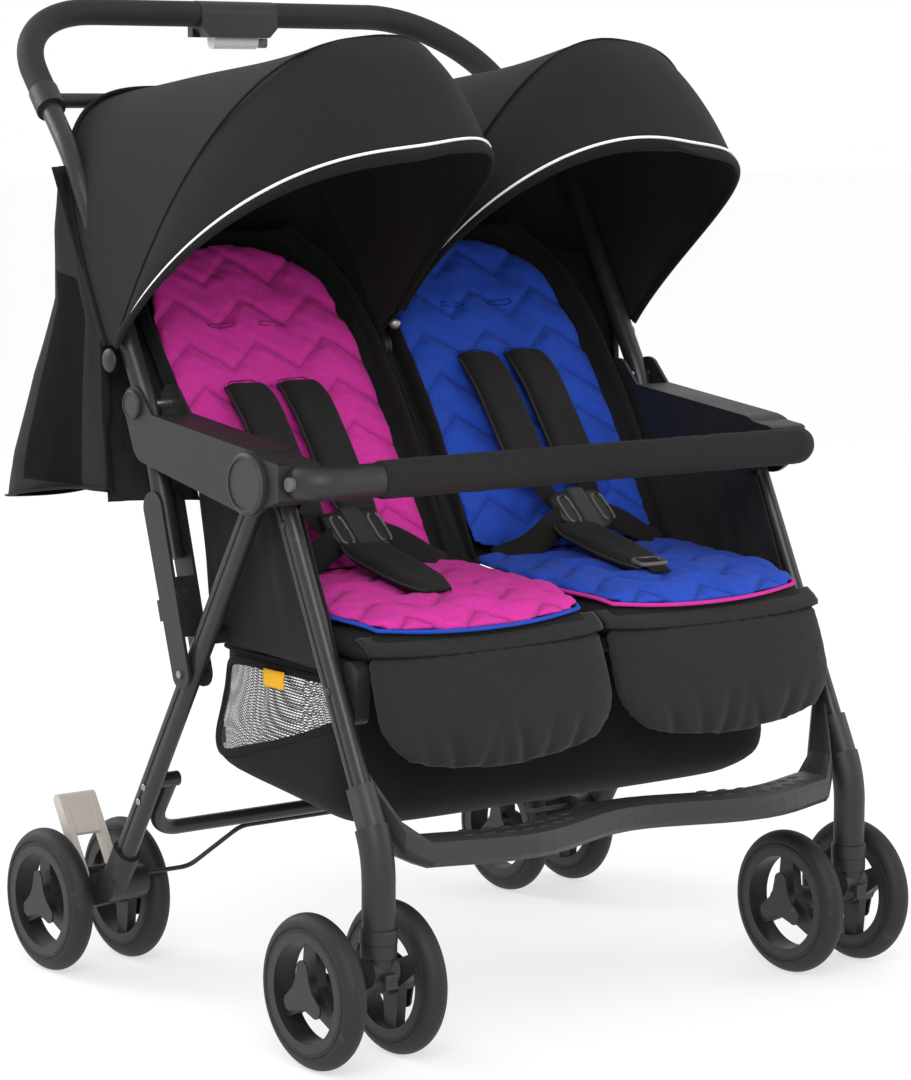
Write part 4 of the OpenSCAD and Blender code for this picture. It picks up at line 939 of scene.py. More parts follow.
# %% Seat back slings and seat bases
SLING_HALF, SLING_FOOT, SLING_LONG = 139, 10, 424
WING_FROM, WING_OUT, HEAD_FROM = 0.78, 44, 0.62
BASE_WIDE, BASE_LONG, BASE_EDGE, BASE_UP, BASE_DOWN = 299.0, 230.0, -2, 16.0, 25.0


def back_sling():
    """A sheet behind the liner: flat in the middle, with wings that curve forward beside the liner."""
    u, v = np.meshgrid(np.linspace(-1, 1, 49), np.linspace(0, 1, 61))
    half = SLING_HALF * np.sqrt(1 - 0.62 * np.clip((v - HEAD_FROM) / (1 - HEAD_FROM), 0, 1)**3)
    wing = np.clip((abs(u) - WING_FROM) / (1 - WING_FROM), 0, 1)
    x = half * np.sign(u) * (np.clip(abs(u) / 0.93, 0, 1)**0.95)
    z = WING_OUT * wing**1.6 * (0.55 + 0.45 * np.sin(np.pi * np.clip(v * 1.05, 0, 1))) - 5
    y = SLING_FOOT + SLING_LONG * v - 10 * wing * v
    return np.stack([x, y, z + 1.5 * ripple(u, v * 2, 5)], -1)


def seat_base():
    """A shallow cushion under the seat liner, with its own crown."""
    a, b = square(41, 61)
    x, y = rounded(a, b, BASE_WIDE, BASE_LONG, 0.06, 0.06)
    crown = pillow(a, b, 8)
    return [np.stack([x, y, BASE_EDGE + high * crown], -1) for high in (BASE_UP, -BASE_DOWN)]


for name, side in SIDES.items():
    grid = set_on(back_sling(), BACK_AT, BACK_TURN, side)
    sling = cloth_piece(f"back_sling_{name}", grid, seat_cloth, 2.0)
    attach(sling, f"seat_back_{name}")
    declare_sheet(sling, grid)
    points, faces = cushion(*(set_on(g, SEAT_AT, SEAT_TILT, side) for g in seat_base()))
    base = new_piece(f"seat_base_{name}", points, faces, seat_cloth)
    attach(base, "rear_frame")

# %% [markdown]
# ## Calf rests
# A calf rest is a padded flap with a straight top and a round lower edge. A seam crosses it at one third,
# and the lower edge is gathered, which leaves a few short tucks. The tucks are made after the simulation.

# %% Calf rests
CALF_WIDE, CALF_LONG, CALF_OUT, CALF_TOP = 298.0, 128.0, 22.0, 17.0
CALF_FRONT, CALF_BACK, CALF_SEAM = 17.0, 9.0, 0.38
TUCK_WIDE, TUCK_LEAN = 5.5, 26
TUCKS = ((-88, 4, 1.2), (-62, 6, 1), (-34, 4, -1), (-6, 3, 0.4), (20, 6, 0.6), (46, 4, -0.5), (78, 6, -1))


def calf_pad():
    """Front and back of the calf rest: round below, square above, with a crown on either side of the edge."""
    a, b = square(81, 121)
    x, y = rounded(a, b, CALF_WIDE, CALF_LONG, 0.78, 0.06)
    y = y + CALF_TOP - CALF_LONG / 2
    crown = pillow(a, b, 3.2)
    return [np.stack([x, y, CALF_OUT + high * crown], -1) for high in (CALF_FRONT, -CALF_BACK)]


def calf_places(points):
    """Flat place of points on the left calf rest: across, the share of its length from -1 to 1, and out."""
    x, y, z = flat_places(points, CALF_AT, CALF_TURN, -1).T
    return x, (y - CALF_TOP + CALF_LONG / 2) / (CALF_LONG / 2), z


def calf_pinned(points):
    """True on the cross seam and on the rear face."""
    x, b, z = calf_places(points)
    return (abs(b - CALF_SEAM + 0.1 * (x / (CALF_WIDE / 2))**2) < 0.06) | (z < CALF_OUT - 2)


def tucks(piece):
    """Pulls short gathers into the lower edge: narrow dips across the width that fade upwards."""
    x, b, z = calf_places(points_of(piece))
    edge = ease((-b - 0.15) / 0.7) * (z > CALF_OUT - 4)
    dip = sum(depth * np.exp(-((x - at + lean * (b + 1) * TUCK_LEAN) / TUCK_WIDE)**2)
              for at, depth, lean in TUCKS)
    crease_pad(piece, -dip * edge, CALF_TURN)


points, faces = cushion(*(set_on(g, CALF_AT, CALF_TURN, -1) for g in calf_pad()))
calf_pieces = {"left": plump(new_piece("calf_pad_left", points, faces, pad_cloth), calf_pinned, cap=5.0)}
tucks(calf_pieces["left"])
calf_pieces["right"] = mirrored(calf_pieces["left"], "calf_pad_right", pad_cloth)
for name in SIDES:
    soften(calf_pieces[name])
    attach(calf_pieces[name], f"calf_rest_{name}")
    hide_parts(f"calf_rest_{name}")

# %% [markdown]
# A valance joins the seat to each calf rest. Its upper edge stays under the seat's lip and its lower edge
# lies on the calf rest. The valance is left in place without a body, and the seam along its lower edge goes
# with the calf rest.

# %% Valances
VALANCE_AT, VALANCE_HALF, VALANCE_TOP, VALANCE_BACK = 150.5, 149.5, 413, -284
u, v = np.meshgrid(np.linspace(-1, 1, 61), np.linspace(0, 1, 17))
drop = 1 - u * u
y = VALANCE_BACK - (18 + 10 * (1 - u**6)) * np.sin(np.pi / 2 * v) + 0.8 * ripple(u * 4, v, 83)
z = VALANCE_TOP - 2 * drop - (15 + 4 * drop) * v
for name, side in SIDES.items():
    grid = np.stack([side * (VALANCE_AT + (VALANCE_HALF - 2 * v) * u), y, z], -1)
    valance = cloth_piece(f"valance_{name}", grid, pad_cloth, 2.0)
    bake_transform(valance)
    declare_sheet(valance, grid)
    seam = rod_piece(f"valance_seam_{name}", grid[-1], oval_profile(2.4, 2.4, 8), (0, 0, 1), binding_cloth)
    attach(seam, f"calf_rest_{name}")

# %% [markdown]
# ## Hoods
# A hood is one cloth over three bows that turn about a cross axis: a rear edge, a middle bow at the seam, and
# a front bow whose middle reaches forward as a visor. Each bow is a superellipse. The cloth between two bows
# is the straight mix of the two, and in front of the seam it swells a little.

# %% Hood surface
HOOD_AT, HOOD_PIVOT, HOOD_HALF = 176.5, np.array([75.0, 664.0]), 174.0
REAR_BOW, MIDDLE_BOW = (-29.0, 318.0, 0.0, 3.2, 0, 0.0), (31.0, 367.0, 0.0, 2.6, 1, 0.0)
FRONT_BOW = (25.4, 361.0, 31.0, 2.74, 1, 0.07)
HOOD_FOOT, VISOR_POWER, INNER_FOOT = 3.0, 0.4, (-21.5, 27.5)
SEAM_SHARE, PIPING_SHARE, HOOD_SWELL, HOOD_SAG, HOOD_FOLD = 0.6, 0.974, 10.0, 5, 3.0


def bow(shape, across, side, grow=0.0):
    """Points of a bow, which is a superellipse about the pivot.

    shape holds the angle at the feet, the radius, the angle added on top, the power of the superellipse,
    whether the inner foot is moved, and how much it narrows towards the top."""
    angle, radius, added, power, moved, narrow = shape
    c, s = np.cos(across), np.sin(across)
    far = (abs(c)**power + s**power)**(1 / power)
    r = (radius + grow) * s / far
    lean = np.radians(angle + added * s**VISOR_POWER)
    inner = moved * ease((1 + c / far) / 2)
    y, z = HOOD_PIVOT[0] + INNER_FOOT[0] * inner, HOOD_PIVOT[1] + INNER_FOOT[1] * inner
    x = HOOD_AT - (HOOD_HALF + grow) * (1 - narrow * s * s) * c / far
    return np.stack([side * x, y - r * np.sin(lean), z + r * np.cos(lean)], -1)


def hood_points(across, share, side, grow=0.0):
    """Points of the hood: share runs from 0 at the rear edge over the seam's share to 1 at the front rim."""
    rear, middle, front = (bow(b, across, side, grow) for b in (REAR_BOW, MIDDLE_BOW, FRONT_BOW))
    back_share = np.clip(share / SEAM_SHARE, 0, 1)[..., None]
    front_share = np.clip((share - SEAM_SHARE) / (1 - SEAM_SHARE), 0, 1)[..., None]
    point = rear + (middle - rear) * back_share + (front - middle) * front_share
    out = point - np.array([side * HOOD_AT, *HOOD_PIVOT])
    out /= np.linalg.norm(out, axis=-1, keepdims=True)
    swell = 4 * HOOD_SWELL * front_share * (1 - front_share) - 4 * HOOD_SAG * back_share * (1 - back_share)
    return point + swell * np.sin(across)[..., None] * out


def hood_line(share, grow, side, count=120):
    """A line over the hood at one share of its depth, a little proud of the cloth."""
    lines = np.radians(np.linspace(HOOD_FOOT, 180 - HOOD_FOOT, count))
    return hood_points(lines, np.full(count, share), side, grow)

# %% [markdown]
# The hood's cloth, its rim, the white piping, the seam over the middle bow and the rear hem are all laid on
# that surface. They are left in place and not attached to a body.

# %% Hoods
HOOD_EDGES = {
    "rim": (1.0, 0.5, oval_profile(6.0, 11.0), binding_cloth),
    "piping": (PIPING_SHARE, 1.4, oval_profile(3.2, 3.2, 10), white_cord),
    "seam": (SEAM_SHARE, 0.8, oval_profile(3.0, 3.0, 8), binding_cloth),
    "hem": (0.0, 0.6, oval_profile(5.0, 9.0, 10), binding_cloth),
}
across, share = np.meshgrid(np.radians(np.linspace(HOOD_FOOT, 180 - HOOD_FOOT, 89)), np.linspace(0, 1, 61))
folds = ripple(across * 1.2, share * 1.4, 11, low=0.4, high=1.6)[..., None] * np.sin(across)[..., None]**0.7
for name, side in SIDES.items():
    grid = hood_points(across, share, side) + HOOD_FOLD * folds * np.array([0, 0, 1.0])
    hood = cloth_piece(f"hood_cloth_{name}", grid, hood_cloth, 1.8, -1.0 if side > 0 else 1.0)
    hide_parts(f"hood_{name}", f"hood_rear_{name}")
    declare_sheet(hood, grid)
    made = [hood]
    for word, (at, proud, profile, finish) in HOOD_EDGES.items():
        made.append(rod_piece(f"hood_{word}_{name}", hood_line(at, proud, side), profile, (1, 0, 0), finish))
    for piece in made:
        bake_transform(piece)

# %% [markdown]
# ## Rear aprons
# Behind each seat an apron hangs from the hood's rear edge down past the seat. It goes round the back of the
# seat in a U, so the sheet runs from one side edge round the back to the other, and its lower edge is free
# and wavy. The inside of the apron is netting, with solid cloth round it and along its two rear corners.

# %% Aprons
APRON_BACK = np.array([[172, 862], [206, 796], [226, 726], [280, 646], [330, 540], [338, 504]], float)
APRON_FRONT = np.array([[182, 860], [150, 800], [94, 700], [88, 610], [83, 534], [83, 531]], float)
APRON_BEND, APRON_SWAY, APRON_DROP, RAISED_SHARE, HEM_WAVE, HEM_SHARE = 7.0, 6.0, 4, 0.3, 5, 0.15
BAND_TOP, BAND_LOW, BAND_ENDS, BAND_CORNERS, CORNER_HALF = 0.30, 0.86, (0.07, 0.92), (0.25, 0.74), 0.06


def hood_hem(off):
    """Place (y, z) of the hood's rear edge at a share of its half width: a superellipse in its own plane."""
    angle, radius, _, power, _, _ = REAR_BOW
    r = radius * (1 - np.clip(off, 0, 1)**power)**(1 / power)
    lean = math.radians(angle)
    return HOOD_PIVOT[0] - r * math.sin(lean), HOOD_PIVOT[1] + r * math.cos(lean)


def apron(side, count_u=81, count_v=49):
    """A U-shaped sheet: u runs round the back, and v runs down from the hood's rear edge to the hem."""
    u, v = np.meshgrid(np.linspace(0, 1, count_u), np.linspace(0, 1, count_v))
    step = np.linspace(0, 1, len(APRON_BACK))
    rear_y, rear_z = (np.interp(v, step, APRON_BACK[:, i]) for i in (0, 1))
    fore_y, fore_z = (np.interp(v, step, APRON_FRONT[:, i]) for i in (0, 1))
    c, s = np.cos(np.pi * u), np.sin(np.pi * u)
    far = (abs(c)**APRON_BEND + abs(s)**APRON_BEND)**(1 / APRON_BEND)
    reach = np.clip(s / far, 0, 1)
    hem_y, hem_z = hood_hem(abs(c / far))
    raised = ease(1 - v / RAISED_SHARE) * (hem_z > APRON_BACK[0, 1])
    rear_y = rear_y + raised * (hem_y - APRON_BACK[0, 0])
    rear_z = rear_z + raised * (hem_z - APRON_BACK[0, 1])
    x = side * (HOOD_AT + (HOOD_HALF - 2) * c / far)
    y, z = fore_y + (rear_y - fore_y) * reach, fore_z + (rear_z - fore_z) * reach
    sway = ease(v) * APRON_SWAY
    wave = ripple(u * 3.2, v * 0.6, 21, low=0.6, high=2.2)
    x = x - side * sway * abs(wave) * (abs(c) > abs(s))
    y = y + sway * wave * (abs(c) <= abs(s))
    z = z + HEM_WAVE * ease((v - 1 + HEM_SHARE) / HEM_SHARE) * np.sin(14 * u) - APRON_DROP * v
    return np.stack([x, y, z], -1), u, v


def solid_cells(u, v):
    """True for the cells of an apron that are solid cloth: top, hem, free edges and two corners."""
    solid = (v > BAND_LOW) | (v < BAND_TOP) | (u < BAND_ENDS[0]) | (u > BAND_ENDS[1])
    for corner in BAND_CORNERS:
        solid = solid | (abs(u - corner) < CORNER_HALF)
    return solid


for name, side in SIDES.items():
    grid, u, v = apron(side)
    cut = np.stack([u * 0.62, v * 0.36, 0 * u], -1)
    piece = cloth_piece(f"apron_{name}", grid, apron_net, 1.2, 0.0, cut)
    piece.data.materials.append(seat_cloth)
    solid = solid_cells(*(w[:-1, :-1].ravel() for w in (u, v)))
    piece.data.polygons.foreach_set("material_index", solid.astype(np.int32))
    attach(piece, "push_frame")
    declare_sheet(piece, grid)
    if name == "left":
        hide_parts("rear_drapes")
    border = np.vstack([grid[:, 0], grid[-1, 1:-1], grid[::-1, -1]])
    hem = rod_piece(f"apron_hem_{name}", border, oval_profile(3.0, 10.0, 10), (0, 0, 1), binding_cloth)
    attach(hem, "push_frame")

# %% [markdown]
# ## Side and middle cloth
# A cloth wall closes each outer side of the seat below the armrest. It is a plain sheet between a low and a
# high edge, with soft folds that fade towards both edges, because the frame holds it there.

# %% Side panels
PANEL_X, PANEL_SWAY = 302.0, 1.6
PANEL_LOW = np.array([(-266, 374), (-160, 379), (-40, 384)], float)
PANEL_HIGH = np.array([(-200, 526), (-120, 540), (-12, 556)], float)
u, v = np.meshgrid(np.linspace(0, 1, 49), np.linspace(0, 1, 33))


def edge_line(edge, u):
    """Points of an edge at shares of its length: straight between its given places."""
    return np.stack([np.interp(u, np.linspace(0, 1, len(edge)), edge[:, i]) for i in (0, 1)], -1)


low, high = edge_line(PANEL_LOW, u), edge_line(PANEL_HIGH, u)
yz = low + (high - low) * v[..., None]
fold = ripple(u * 2.6, v * 0.7, 31, low=0.8, high=3.0) * np.sin(np.pi * v)**0.6
for name, side in SIDES.items():
    grid = np.stack([side * (PANEL_X + PANEL_SWAY * fold), yz[..., 0], yz[..., 1]], -1)
    # The walls' cloth is lighter than the seat's as painted light from the lamp on the outer side.
    panel = cloth_piece(f"side_panel_{name}", grid, side_cloth_painted_light, 1.4)
    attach(panel, "rear_frame")
    declare_sheet(panel, grid)
    if name == "left":
        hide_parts("seat_sides")

# %% [markdown]
# Between the two backrests a pleated panel closes the seat, and on the outer side of each backrest a gusset
# closes the gap to the apron. The panel is made on the flat of the backrest, so its pleats run along it.

# %% Middle panel and gussets
MIDDLE_HALF, MIDDLE_FOOT, MIDDLE_LONG, MIDDLE_OUT, PLEAT = 30, -20, 330, 16, 6
GUSSET_FROM, GUSSET_LONG, GUSSET_HALF, APRON_SIDE = 110, 290, 134, 347
u, v = np.meshgrid(np.linspace(-1, 1, 41), np.linspace(0, 1, 49))
pleats = PLEAT * np.sin(3.2 * np.pi * u + 1.5 * ripple(u, v * 1.3, 43)) * (0.4 + 0.6 * v)
out = MIDDLE_OUT - 12 * u * u + pleats * (1 - u * u)
flat = np.stack([(MIDDLE_HALF + 6 * v) * u, MIDDLE_FOOT + MIDDLE_LONG * v, out], -1)
grid = set_on(flat, (0, BACK_AT[1], BACK_AT[2]), BACK_TURN, 1)
panel = cloth_piece("middle_panel", grid, seat_cloth, 1.4)
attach(panel, "rear_frame")
declare_sheet(panel, grid)
u, v = np.linspace(0, 1, 17), np.linspace(0, 1, 33)
for name, side in SIDES.items():
    flat = np.stack([side * (GUSSET_HALF - 8 * v), GUSSET_FROM + GUSSET_LONG * v, 0 * v + 2], 1)
    near = set_on(flat, BACK_AT, BACK_TURN, side)
    z = near[:, 2] - 6
    y = np.interp(z, APRON_FRONT[::-1, 1], APRON_FRONT[::-1, 0]) + 6
    far = np.stack([0 * v + side * APRON_SIDE, y, z], 1)
    grid = near[:, None] + (far - near)[:, None] * u[None, :, None]
    grid[..., 1] += 9 * np.sin(np.pi * u) + 3 * ripple(u * 1.5, v[:, None] * 2, 47)
    gusset = cloth_piece(f"back_gusset_{name}", grid, seat_cloth, 1.4)
    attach(gusset, "push_frame")
    declare_sheet(gusset, grid)

# %% [markdown]
# ## Basket
# The basket is a trough of solid cloth with a window of netting in each end and in the back. Its outline is
# a superellipse that swells a little below the rim, its lower edge is round, and its floor slopes and sags.
# The windows' cells are left out of the solid sheet and filled by the net.

# %% Basket
BASKET_MIDDLE, BASKET_RIM, BASKET_DEEP, FLOOR_SLOPE = -124.5, 370.0, 142.0, 14
BASKET_HALF_X, BASKET_HALF_Y, CORNER_POWER, FLOOR_END = 276, 127.5, 0.25, 0.6
WINDOW_HALF_Y, WINDOW_HALF_X, WINDOW_TOP = 104, 264, 0.06
END_FROM, REAR_FROM, NET_DEEP = 262, 110, 0.09
WALL_LEAN, LOWER_ROUND, LOWER_SHARE, WALL_SWELL, FLOOR_SAG = 2, 15, 0.16, 11, 6


def basket_points(turn, down):
    """Points of the trough: turn goes round it, and down runs from 0 at the rim over 1 at the floor's edge.

    The floor's middle is FLOOR_END further down."""
    wall_share, floor_share = np.clip(down, 0, 1), np.clip((down - 1) / FLOOR_END, 0, 1)
    lower = np.clip((wall_share - 1 + LOWER_SHARE) / LOWER_SHARE, 0, 1)
    inward = WALL_LEAN * wall_share + LOWER_ROUND * lower**2.2
    x, y = (signed_power(w, CORNER_POWER) for w in (np.sin(turn), np.cos(turn)))
    shrink = 1 - floor_share
    slope = FLOOR_SLOPE * y
    z = BASKET_RIM - (BASKET_DEEP - slope) * wall_share - (slope + FLOOR_SAG) * floor_share
    wide = WALL_SWELL * np.sin(np.pi * wall_share**2.4) * shrink - inward
    x, y = (BASKET_HALF_X + wide) * x * shrink, (BASKET_HALF_Y + wide) * y * shrink
    return np.stack([x, BASKET_MIDDLE + y, z], -1)


def net_bottom(y):
    """Share of the wall's depth at which the netting ends: deep at the rear and shallow in front."""
    return 0.33 + 0.55 * np.clip((y - BASKET_MIDDLE + WINDOW_HALF_Y) / (2 * WINDOW_HALF_Y), 0, 1)

# %% [markdown]
# The columns of the grid stand evenly along the rim, because equal angles would crowd together in the
# corners of a superellipse.

# %% Basket cloth and net
fine = np.linspace(0, 2 * np.pi, 100001)
steps = np.linalg.norm(np.diff(basket_points(fine, 0 * fine), axis=0), axis=1)
even = np.interp(np.linspace(0, steps.sum(), 193), np.concatenate([[0], np.cumsum(steps)]), fine)
turns, downs = np.meshgrid(even, np.concatenate([np.linspace(0, 1, 33), np.linspace(1.06, 1.599, 10)]))
grid = basket_points(turns, downs)
cells = quads(grid_index(*grid.shape[:2]))
x, y, _ = ((grid[:-1, :-1] + grid[1:, 1:]).reshape(-1, 3) / 2).T
down = (downs[:-1, :-1] + downs[1:, :-1]).ravel() / 2
ends = (abs(x) > END_FROM) & (abs(y - BASKET_MIDDLE) < WINDOW_HALF_Y)
rear = (y > BASKET_MIDDLE + REAR_FROM) & (abs(x) < WINDOW_HALF_X)
window = (down > WINDOW_TOP) & (down < net_bottom(y)) & (ends | rear)
basket = new_piece("basket_cloth", grid, cells[~window], seat_cloth, closed=False)
thicken(basket, 2.0, 0.0)
cut = np.stack([turns * 0.14, downs * 0.148, 0 * turns], -1)
net = new_piece("basket_net", grid, cells[window], basket_net, cut, closed=False)
for piece in (basket, net):
    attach(piece, "rear_frame")
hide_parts("basket")
declare_sheet(basket, grid, 0.9)
print("basket cells:", len(cells), "of which net:", int(window.sum()))

# %% [markdown]
# Tape binds the basket's rim and the edge of each end window. Above the rim, a strip of net goes up to the
# seat's side rail, and a short tab of yellow tape hangs on the left end.

# %% Basket tape, upper net and tab
NET_TOP_X, NET_TOP_Z = 284.0, ([-260, 10], [381, 396])
TAB_AT, TAB_SIZE = (-281.5, -137, 341), (36, 18)


def end_turn(centre, side, along):
    """Angle round the basket at a share of the half depth of one end: the inverse of its superellipse."""
    return centre - side * np.arcsin(signed_power(along, 1 / CORNER_POWER))


rim_path = basket_points(np.linspace(0, 2 * np.pi, 161), np.zeros(161)) + [0, 0, 1]
rim_tape = rod_piece("basket_rim_tape", rim_path, oval_profile(4.0, 13.0, 10, 3.0), (0, 0, 1), binding_cloth)
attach(rim_tape, "rear_frame")
a = np.linspace(0, 2 * np.pi, 161)
for name, side in SIDES.items():
    centre = np.pi / 2 * side
    low = basket_points(end_turn(centre, side, np.linspace(-0.82, 0.82, 41)), np.zeros(41))
    high = np.stack([0 * low[:, 0] + side * NET_TOP_X, low[:, 1], np.interp(low[:, 1], *NET_TOP_Z)], 1)
    grid = low + (high - low) * np.linspace(0, 1, 7)[:, None, None]
    cut = np.stack(np.broadcast_arrays(low[:, 1] * MM, np.linspace(0, 0.03, 7)[:, None], 0.0), -1)
    strip = new_piece(f"basket_top_net_{name}", grid, quads(grid_index(7, 41)), basket_net, cut, closed=False)
    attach(strip, "rear_frame")
    declare_sheet(strip, grid)
    along, up = round_loop(a, 1, 1, 0.3)
    share = 0.07 + (net_bottom(BASKET_MIDDLE + WINDOW_HALF_Y * along) - 0.07) * (1 - up) / 2
    path = basket_points(end_turn(centre, side, along * WINDOW_HALF_Y / BASKET_HALF_Y), share) + [side, 0, 0]
    profile = oval_profile(3.0, 9.0, 10, 3.0)
    tape = rod_piece(f"basket_window_tape_{name}", path, profile, (side, 0, 0), binding_cloth)
    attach(tape, "rear_frame")

u, v = np.meshgrid(np.linspace(0, 1, 13), np.linspace(0, 1, 11))
x = TAB_AT[0] - 1.2 * np.sin(np.pi * v) - 0.5 * np.sin(3 * u)
tab = np.stack([x, TAB_AT[1] + TAB_SIZE[0] * u, TAB_AT[2] + TAB_SIZE[1] * v], -1)
tab_piece = cloth_piece("basket_tab", tab, yellow_tape, 1.2)
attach(tab_piece, "rear_frame")
declare_sheet(tab_piece, tab)

# %% [markdown]
# ## Harness
# Two padded shoulder straps lie on each backrest, thin webbing joins them to the buckle, waist straps come
# from the sides, and a padded crotch strap comes up from the seat. The pads are small, so they are worked
# out directly: a crowned cushion along a curved path, with a piped edge.

# %% Stuffed strips
END_SHARE = 0.38


def strip_pad(path, width, thick, taper=0.0, steep=6.0, rows=61, columns=25):
    """A stuffed strip along a path of (along, out) points: returns its upper and lower flat grids."""
    line = smooth_path(path, 24)
    length = np.concatenate([[0], np.cumsum(np.linalg.norm(np.diff(line, axis=0), axis=1))])
    b = np.linspace(-1, 1, rows)
    centre = np.stack([np.interp((b + 1) / 2 * length[-1], length, line[:, i]) for i in (0, 1)], 1)
    ahead = np.gradient(centre, axis=0)
    ahead /= np.linalg.norm(ahead, axis=1, keepdims=True)
    normal = np.stack([-ahead[:, 1], ahead[:, 0]], 1)
    a, b = np.meshgrid(np.linspace(-1, 1, columns), b)
    ends = np.sqrt(1 - 0.375 * (np.clip(abs(b) - 1 + END_SHARE, 0, 1) / END_SHARE)**2)
    wide = width / 2 * (1 - taper * np.clip(b, 0, 1)**2) * ends
    crown = pillow(a, b, steep) * (1 + 0.05 * ripple(a * 0.6, b * 1.5, 41, low=0.5, high=2.0))
    grids = []
    for out in (1, -1):
        flat = centre[:, None] + (out * crown * thick / 2)[..., None] * normal[:, None]
        grids.append(np.concatenate([(a * wide)[..., None], flat], -1))
    return grids


def piped_edge(grid):
    """The border of a grid as one closed line."""
    return np.vstack([grid[0], grid[1:, -1], grid[-1, -2::-1], grid[-2::-1, 0]])


def stuffed(name, upper, lower):
    """A pad from its two grids, in the harness's cloth, with one live subdivision."""
    pad = new_piece(name, *cushion(upper, lower), pad_cover)
    soften(pad)
    return pad

# %% [markdown]
# Each backrest has two pads with piping, and webbing goes on from each pad towards the buckle.

# %% Shoulder pads and straps
PAD_PATH = [(70, 42), (105, 36), (150, 34), (196, 31), (232, 22), (244, 12)]
PAD_WIDE, PAD_THICK, PAD_APART = 52.0, 21.0, 34.0
HARNESS_SHIFT, PAD_SHIFT = {"left": -8.0, "right": -2.0}, {"left": -11.0, "right": 11.0}
for name, side in SIDES.items():
    made, shift = [], PAD_SHIFT[name]
    for word, x in (("outer", side * PAD_APART), ("inner", -side * PAD_APART)):
        x = x + HARNESS_SHIFT[name]
        flats = strip_pad(PAD_PATH, PAD_WIDE, PAD_THICK)
        upper, lower = (set_on(g + [x, shift, 0], BACK_AT, BACK_TURN, side) for g in flats)
        pad = stuffed(f"shoulder_pad_{name}_{word}", upper, lower)
        # The piping's grey is a painted sheen along the pad's edge.
        profile = oval_profile(3.4, 3.4, 8)
        edge = rod_piece(f"shoulder_piping_{name}_{word}", piped_edge(upper), profile, (1, 0, 0), piping_painted_sheen)
        path = smooth_path([(x, 74 + shift, 40), (x * 0.85, 58, 44), (x * 0.6, 46, 46)])
        path, profile = set_on(path, BACK_AT, BACK_TURN, side), oval_profile(26.0, 2.4, 12, 4.0)
        strap = rod_piece(f"shoulder_strap_{name}_{word}", path, profile, (1, 0, 0), webbing)
        made += [pad, edge, strap]
    for piece in made:
        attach(piece, f"seat_back_{name}")
    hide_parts(f"harness_{name}")
print("shoulder pads:", PAD_WIDE, "mm wide and", PAD_THICK, "mm thick")

# %% [markdown]
# The straps pass through slots in the liner. A slot is a cut with a ring of thick stitching round it, so it
# is a flat loop of thread that follows the cloth, at the height of the nearest points of the pad.

# %% Sewn slots
SLOT_HALF, SLOT_APART = (17, 2.6), 33.0
SLOT_UPPER, SLOT_LOWER = {"left": 306.0, "right": 320.0}, {s: 247.0 + PAD_SHIFT[s] for s in SIDES}
t = np.linspace(0, 2 * np.pi, 49)
for name, side in SIDES.items():
    cover = flat_places(points_of(back_pieces[name]), BACK_AT, BACK_TURN, side)
    cover = cover[cover[:, 2] > BACK_SEAM + 4]
    thread = cloth_finish(f"{name}_slot_thread", dimmed(LINER[name][0], 0.5), 600, 0.2)
    for row, along in (("upper", SLOT_UPPER[name]), ("lower", SLOT_LOWER[name])):
        for word, x in (("outer", side * SLOT_APART), ("inner", -side * SLOT_APART)):
            wide, high = round_loop(t, *SLOT_HALF, 0.3, 1)
            ring = np.stack([x + HARNESS_SHIFT[name] + wide, along + high], 1)
            near = np.argmin(((ring[:, None] - cover[None, :, :2])**2).sum(-1), axis=1)
            out = np.convolve(np.tile(cover[near, 2], 3), np.ones(5) / 5, "same")[len(t):2 * len(t)] + 0.8
            path = set_on(np.column_stack([ring, out]), BACK_AT, BACK_TURN, side)
            slot = rod_piece(f"slot_{row}_{name}_{word}", path, oval_profile(1.4, 1.4, 6), (1, 0, 0), thread)
            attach(slot, f"seat_back_{name}")

# %% [markdown]
# The padded crotch strap runs from the buckle down to the front of the seat, and two waist straps come from
# the sides of the seat up to the buckle. They belong to the seat, so they stay while a backrest reclines.

# %% Crotch and waist straps
CROTCH_SHIFT = {"left": -9.0, "right": -26.0}
CROTCH_PATH = [(-100, 476), (-126, 467), (-160, 459), (-200, 450), (-232, 443)]
CROTCH_WIDE, CROTCH_THICK, CROTCH_TAPER = 62.0, 15.0, 0.4
WAIST_PATH = [(118, -84, 442), (84, -98, 455), (52, -96, 472), (27, -88, 483)]
for name, side in SIDES.items():
    at = [side * SEAT_AT[0] + CROTCH_SHIFT[name], 0, 0]
    upper, lower = (g + at for g in strip_pad(CROTCH_PATH, CROTCH_WIDE, CROTCH_THICK, CROTCH_TAPER))
    pad = stuffed(f"crotch_pad_{name}", upper, lower)
    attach(pad, "rear_frame")
    # The piping's grey is a painted sheen along the pad's edge.
    profile = oval_profile(3.2, 3.2, 8)
    edge = rod_piece(f"crotch_piping_{name}", piped_edge(upper), profile, (1, 0, 0), piping_painted_sheen)
    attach(edge, "rear_frame")
    for word, out in (("outer", side), ("inner", -side)):
        path = smooth_path([(side * SEAT_AT[0] + out * x, y, z) for x, y, z in WAIST_PATH])
        profile = oval_profile(30.0, 6.0, 14, 3.0)
        strap = rod_piece(f"waist_strap_{name}_{word}", path, profile, (0, 0.5, 0.86), seat_cloth)
        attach(strap, "rear_frame")
    print(f"{name} harness laid on the seat")

# %% [markdown]
# The right crotch strap shows its adjuster, a flat frame that the webbing runs through. It is a rounded
# rectangle carried round a small loop, with its bars a little proud of the webbing.

